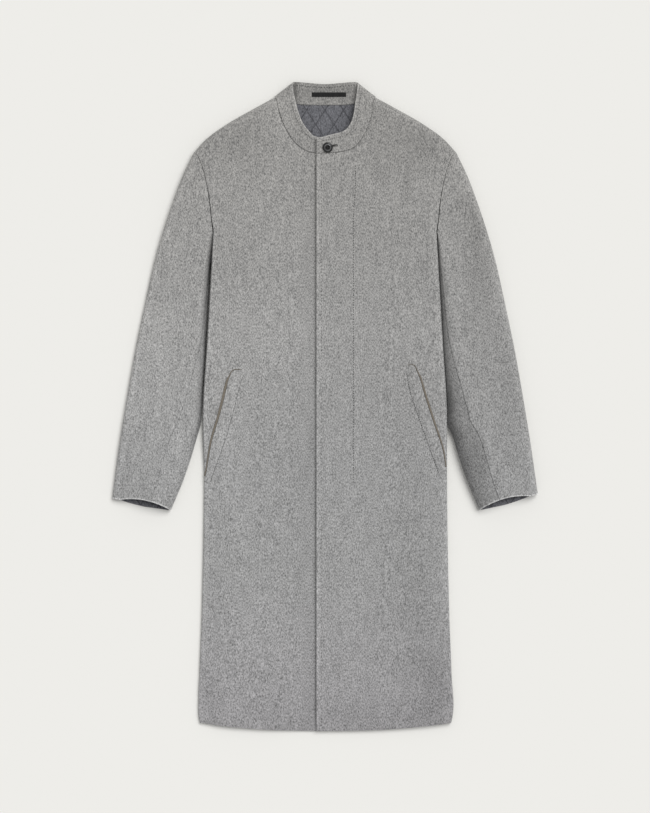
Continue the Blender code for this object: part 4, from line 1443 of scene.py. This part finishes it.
def edging_spot(track, height, spread):
    """Gives each corner of an edging its place, just outside the mouth's edge."""
    def spot(column, row):
        step = EDGING_ROWS - row
        run = mouth_plan(track, min(step + 1, EDGING_ROWS)) - mouth_plan(track, max(step - 1, 0))
        outward = Vector((-run.y, run.x)).normalized()
        width = spread * float(EDGING_WIDTH(step / EDGING_ROWS)[0])
        plan = mouth_plan(track, step) + outward * (EDGING_GAP + width * column)
        return body_point(plan, height, POCKET_LIFT)
    return spot


print("edging curls over the welt's top end in", CURL_ROWS, "of its", EDGING_ROWS, "cells")

# %% Welts and edging
EDGING_SPREAD = {"left": 1.0, "right": 1.25}
EDGING_WALL = 0.0012
EDGING_ROUND = 0.0003
for side, mirrored, _, height in front_plans:
    track = pocket_tracks[side]
    shape = lay_grid(WELT_COLUMNS, WELT_ROWS, welt_spot(track, height), mirrored)
    tuck_side(shape)
    tell("welt " + side, shape)
    welt = add_piece("welt_cloth_" + side, shape, (outer_wool,), "pocket_welt_" + side)
    give_wall(welt, WELT_WALL, OUTWARDS)
    shape = lay_grid(1, EDGING_ROWS, edging_spot(track, height, EDGING_SPREAD[side]), mirrored)
    tuck_side(shape)
    tell("edging " + side, shape)
    edging = add_piece("mouth_edging_" + side, shape, (edging_finish,), "pocket_edge_" + side)
    give_wall(edging, EDGING_WALL, OUTWARDS, EDGING_ROUND)

# %% [markdown]
# ## Label
#
# A short, bare black tape is sewn to the inner face of the collar at the back. It could be cut out of the
# collar's own mesh, but its ends don't fall on the collar's cells. So each corner of a small grid looks for
# its place on the collar in a few steps, each as long as the last one missed by.

# %% Black tape
LABEL_X = (-0.0243, 0.0387)
LABEL_Y = (0.5708, 0.5790)
LABEL_COLUMNS = 24
LABEL_ROWS = 4
LABEL_WALL = 0.0006
LABEL_ROUND = 0.0002
LABEL_LIFT = COLLAR_WALL + 0.0003
# Steps of the search, and about how long a station and how tall the collar is
SEARCH_STEPS = 12
STATION_LONG = 0.045
COLLAR_TALL = 0.038


def label_spot(column, row):
    """A point of the tape, above the inner face of the collar."""
    target = Vector((mix(*LABEL_X, column / LABEL_COLUMNS), mix(*LABEL_Y, row / LABEL_ROWS)))
    station = BACK_STATION
    share = 0.5
    for _ in range(SEARCH_STEPS):
        miss = target - collar_point(station, share).xy
        station -= miss.x / STATION_LONG
        share += miss.y / COLLAR_TALL
    return collar_point(station, share) + collar_normal(station, share) * LABEL_LIFT


shape = lay_grid(LABEL_COLUMNS, LABEL_ROWS, label_spot)
label = add_piece("neck_tape", shape, (tape_finish,), "neck_label")
give_wall(label, LABEL_WALL, OUTWARDS, LABEL_ROUND)
print("tape is", [round(v * 1000.0, 1) for v in label.dimensions], "mm")

# %% [markdown]
# ## Button
#
# The button is turned from black horn: a flat rim, a raised ring, a dished middle and four holes.
# Spinning a profile round its axis does what the lathe does, and the holes are drilled with four
# small cylinders. A pale ring on the face is a painted highlight, and the distance from the button's
# middle tells the finish where it is. That needs no second material, and the ring's edges stay soft.

# %% Place of the button
BUTTON_CENTRE = Vector((0.0052, 0.4767))
PLACE_STEPS = 61


def collar_place(plan):
    """Station and share of the collar's upper end that lie nearest to a plan point."""
    shares = np.linspace(0.0, 1.0, PLACE_STEPS)
    choices = [(OVER_END * part, share) for part in shares for share in shares]
    return min(choices, key=lambda choice: (collar_point(*choice).xy - plan).length)


def stand_on(place, normal):
    """A placement that stands a shape upright on a surface."""
    lean = Vector((0.0, 0.0, 1.0)).rotation_difference(normal)
    return Matrix.Translation(place) @ lean.to_matrix().to_4x4()


station, share = collar_place(BUTTON_CENTRE)
button_up = collar_normal(station, share)
button_place = stand_on(collar_point(station, share) + button_up * LAYER_GAP, button_up)
print("button stands", round(button_place.translation.z * 1000.0, 1), "mm above the floor")

# %% Horn with a painted highlight ring
BUTTON_HEIGHT = 0.0040
RING_RADIUS = 0.0056
RING_WIDE = 0.0015
RING_HIGHLIGHT_SHARE = 0.7
HORN_CLOUDS = (160.0, 90.0, 160.0)
HORN_CONTRAST = 1.8
HORN_ROUGH = 0.14
HORN_NAP = 0.05
HORN_DARK = shade(0.001, 0.001, 0.001)
HORN_LIGHT = shade(0.006, 0.006, 0.006)
RING_HIGHLIGHT = shade(0.18, 0.18, 0.18)
horn_finish, shader, start, place = new_finish("black_horn", HORN_ROUGH, Coat_Weight=0.4)
middle = button_place @ Vector((0.0, 0.0, BUTTON_HEIGHT))
distance = {"operation": "DISTANCE"}
far = start.node("ShaderNodeVectorMath", distance, {0: place, 1: middle}, output="Value")
# Mask of the painted highlight ring on the button's face
ring = (1.0 - start.maths("ABSOLUTE", far - RING_RADIUS) / RING_WIDE).clear()
cloud = start.noise(place, HORN_CLOUDS, detail=1.0) * HORN_CONTRAST
ground = start.blend((0.5 + cloud).clear(), HORN_DARK, HORN_LIGHT)
feed(start.blend(ring * (RING_HIGHLIGHT_SHARE + cloud), ground, RING_HIGHLIGHT), shader, "Base Color")
feed(nap(start, cloud, HORN_NAP), shader, "Normal")
print("made", horn_finish.name)

# %% Turned and drilled button
BUTTON_STEPS = 48
HOLE_RADIUS = 0.0010
HOLE_APART = 0.0017
HOLE_SIDES = 16
HORN_SHARP = radians(35.0)
# Radius and height along the button's section, from its foot to the middle of its face
BUTTON_PROFILE = (
    (0.0, 0.0), (0.0083, 0.0), (0.0091, 0.0004), (0.0095, 0.0012), (0.0095, 0.0022), (0.0091, 0.0030),
    (0.0084, 0.0034), (0.0076, 0.00345), (0.0066, 0.0035), (0.0056, 0.0038), (0.0046, 0.0040),
    (0.0040, 0.0039), (0.0034, 0.0033), (0.0, 0.0032),
)
shape = bmesh.new()
profile = [shape.verts.new((radius, 0.0, height)) for radius, height in BUTTON_PROFILE]
section = [shape.edges.new(pair) for pair in zip(profile, profile[1:])]
bmesh.ops.spin(shape, geom=profile + section, cent=(0.0, 0.0, 0.0), axis=(0.0, 0.0, 1.0),
               angle=2.0 * pi, steps=BUTTON_STEPS, use_merge=True)
bmesh.ops.remove_doubles(shape, verts=shape.verts, dist=MERGE)
bmesh.ops.recalc_face_normals(shape, faces=shape.faces)
button = add_piece("horn_button", shape, (horn_finish,), "collar_button")

drill_shape = bmesh.new()
hole_spots = [Vector((HOLE_APART * x, HOLE_APART * y, BUTTON_HEIGHT / 2.0)) for x in (-1, 1) for y in (-1, 1)]
for spot in hole_spots:
    bmesh.ops.create_cone(drill_shape, cap_ends=True, segments=HOLE_SIDES, radius1=HOLE_RADIUS,
                          radius2=HOLE_RADIUS, depth=2.0 * BUTTON_HEIGHT, matrix=Matrix.Translation(spot))
drill_mesh = bpy.data.meshes.new("drill")
drill_shape.to_mesh(drill_mesh)
drill_shape.free()
drill = bpy.data.objects.new("drill", drill_mesh)
bpy.context.scene.collection.objects.link(drill)
cut = button.modifiers.new("holes", "BOOLEAN")
cut.operation = "DIFFERENCE"
cut.object = drill
drilled = bpy.data.meshes.new_from_object(button.evaluated_get(bpy.context.evaluated_depsgraph_get()))
button.modifiers.remove(cut)
bpy.data.objects.remove(drill)
bpy.data.meshes.remove(drill_mesh)
drilled.transform(button_place)
button.data = drilled
drilled.set_sharp_from_angle(angle=HORN_SHARP)
print("button has", len(drilled.polygons), "faces")

# %% [markdown]
# ## Sewing
#
# The edges are pick-stitched by hand: the thread shows as short, sunken dashes a few millimetres
# apart. A bump could paint them, but real thread throws a small shade, so each stitch is a small ball,
# stretched along the row. Each row follows a path on the surface that it is sewn to, and all stitches of
# one kind become one piece.

# %% Stitches along a path
STITCH_SIDES = 6
STITCH_RINGS = 4


def add_stitch(shape, place, run, up, size):
    """One stitch: a ball stretched to size along its run, across it, and upwards."""
    side = up.cross(run).normalized()
    turn = Matrix((run.normalized(), side, run.cross(side).normalized())).transposed().to_4x4()
    stretch = Matrix.Diagonal((*size, 1.0))
    bmesh.ops.create_uvsphere(shape, u_segments=STITCH_SIDES, v_segments=STITCH_RINGS, radius=0.5,
                              matrix=Matrix.Translation(place) @ turn @ stretch)


def sew(shape, path, pitch, size):
    """Sews stitches at even steps along a path of (place, up) pairs."""
    walked = pitch / 2.0
    for (place, up), (ahead, _) in zip(path, path[1:]):
        run = ahead - place
        while walked < run.length:
            spot = place + run * (walked / run.length)
            add_stitch(shape, spot, run, up, size)
            walked += pitch
        walked -= run.length


def count_stitches(name, shape):
    """Prints how many stitches a shape holds."""
    print(name, "has", len(shape.faces) // (STITCH_SIDES * STITCH_RINGS), "stitches")


print("a stitch has", STITCH_SIDES * STITCH_RINGS, "faces")

# %% Stitches of the fronts
STITCH = (0.0028, 0.0013, 0.0009)
PICK_X = -0.0068
PICK_Y = (0.460, -0.588)
PICK_PITCH = 0.0060
FLY_X = 0.0524
FLY_Y = (0.444, -0.140)
FLY_PITCH = 0.0044
FLY_LEAN = 0.0037
FLY_LEAN_Y = (0.330, 0.420)


def body_path(points, height, mirrored, lift):
    """A path on a front through plan points."""
    turn = Vector((-1.0 if mirrored else 1.0, 1.0, 1.0))
    path = []
    for plan in points:
        low = body_point(plan, height, 0.0) * turn
        high = body_point(plan, height, 1.0) * turn
        path.append((low + (high - low) * lift, high - low))
    return path


def level_points(x, start_y, end_y, steps=120):
    """Plan points down a straight line."""
    return [Vector((x, mix(start_y, end_y, step / steps))) for step in range(steps + 1)]


shape = bmesh.new()
sew(shape, body_path(level_points(PICK_X, *PICK_Y), over_height, False, 0.0), PICK_PITCH, STITCH)
fly = level_points(FLY_X, *FLY_Y)
for point in fly:
    point.x += FLY_LEAN * ramp(point.y, *FLY_LEAN_Y)
sew(shape, body_path(fly, over_height, False, 0.0), FLY_PITCH, STITCH)
count_stitches("front", shape)
add_piece("front_stitches", shape, (thread_finish,))

# %% Stitches of the collar
FINE_STITCH = (0.0032, 0.0008, 0.0007)
# Each run of stations: start, end, points
LEFT_RUN = (0.05, len(NECK_OVER) - 0.6, 160)
RIGHT_RUN = (COLLAR_END - len(NECK_UNDER) + 1.6, COLLAR_END - 1.0, 160)
BACK_RUN = (BACK_STATION - 1.9, BACK_STATION + 1.9, 120)
# Points of the left run along which the seam's stitches show
SEAM_SHOWN = 70
# Share of the collar's width, and lift above it
EDGE_ROW = (0.77, 0.0)
SEAM_ROW = (0.03, 0.0001)
BACK_ROW = (0.84, COLLAR_WALL + 0.0001)
EDGE_PITCH = 0.0038
SEAM_PITCH = 0.0031
BACK_PITCH = 0.0050


def collar_path(stations, share, lift):
    """A path along the collar."""
    path = []
    for station in stations:
        up = collar_normal(station, share)
        path.append((collar_point(station, share) + up * lift, up))
    return path


shape = bmesh.new()
front_left = np.linspace(*LEFT_RUN)
front_right = np.linspace(*RIGHT_RUN)
for stations in (front_left, front_right):
    sew(shape, collar_path(stations, *EDGE_ROW), EDGE_PITCH, FINE_STITCH)
for stations in (front_left[:SEAM_SHOWN], front_right):
    sew(shape, collar_path(stations, *SEAM_ROW), SEAM_PITCH, FINE_STITCH)
sew(shape, collar_path(np.linspace(*BACK_RUN), *BACK_ROW), BACK_PITCH, STITCH)
count_stitches("collar", shape)
add_piece("collar_stitches", shape, (thread_finish,))

# %% Stitches of the pockets
SEAM_ACROSS = 0.05
SEAM_LIFT = 0.0002
SEAM_RUN = (0.03, 0.99, 90)
POCKET_SEWING = {"left": (0.0038, STITCH), "right": (0.0031, FINE_STITCH)}
shape = bmesh.new()
for side, mirrored, _, height in front_plans:
    seam = [pocket_plan(pocket_tracks[side], down, SEAM_ACROSS) for down in np.linspace(*SEAM_RUN)]
    lift = welt_lift(SEAM_ACROSS) + WELT_WALL + SEAM_LIFT
    sew(shape, body_path(seam, height, mirrored, lift), *POCKET_SEWING[side])
tuck_side(shape)
count_stitches("pair of pockets", shape)
add_piece("pocket_stitches", shape, (thread_finish,))

# %% [markdown]
# ### Buttonhole and the button's thread
#
# A worked buttonhole is edged with close stitches that lie across its rim. Its slit could be cut through
# the collar, but the cloth keeps it closed, so one long, flat, dark stitch paints the shade of that closed
# slit. Two stitches of black thread cross the button's holes.

# %% Stitches round the buttonhole
HOLE_START = Vector((0.0100, 0.4788))
HOLE_END = Vector((0.0215, 0.4808))
HOLE_WIDE = 0.0014
HOLE_STEPS = 12
HOLE_TURN = 8
HOLE_LIFT = 0.0002
HOLE_PITCH = 0.0009
HOLE_STITCH = (0.0007, 0.0018, 0.0007)


def over_collar(plan, lift):
    """A place above the collar's upper end, and its upward direction."""
    spot = collar_place(plan)
    up = collar_normal(*spot)
    base = collar_point(*spot)
    return Vector((plan.x, plan.y, base.z)) + up * lift, up


shape = bmesh.new()
hole_run = (HOLE_END - HOLE_START).normalized()
hole_side = Vector((-hole_run.y, hole_run.x))
steps = [step / HOLE_STEPS for step in range(HOLE_STEPS + 1)]
outline = [HOLE_START.lerp(HOLE_END, share) + hole_side * HOLE_WIDE for share in steps]
for step in range(1, HOLE_TURN):
    angle = pi * step / HOLE_TURN
    outline.append(HOLE_END + (hole_side * cos(angle) + hole_run * sin(angle)) * HOLE_WIDE)
outline += [HOLE_END.lerp(HOLE_START, share) - hole_side * HOLE_WIDE for share in steps]
sew(shape, [over_collar(plan, HOLE_LIFT) for plan in outline], HOLE_PITCH, HOLE_STITCH)
count_stitches("buttonhole", shape)
add_piece("buttonhole_stitches", shape, (thread_finish,))

# %% Slit and the button's thread
SLIT_LIFT = 0.00005
SLIT_SIZE = ((HOLE_END - HOLE_START).length, 0.0013, 0.0004)
BUTTON_DISH = 0.0008
BUTTON_THREAD = (0.0050, 0.0011, 0.0010)
shape = bmesh.new()
# The slit's dark stitch is painted shade in the closed gap
slit_place, slit_up = over_collar(HOLE_START.lerp(HOLE_END, 0.5), SLIT_LIFT)
add_stitch(shape, slit_place, hole_run.to_3d(), slit_up, SLIT_SIZE)
face_height = BUTTON_HEIGHT - BUTTON_DISH
for pair in (hole_spots[:2], hole_spots[2:]):
    first, last = [button_place @ Vector((*spot.xy, face_height)) for spot in pair]
    add_stitch(shape, (first + last) / 2.0, last - first, button_up, BUTTON_THREAD)
count_stitches("slit and button", shape)
add_piece("black_stitches", shape, (black_thread,))
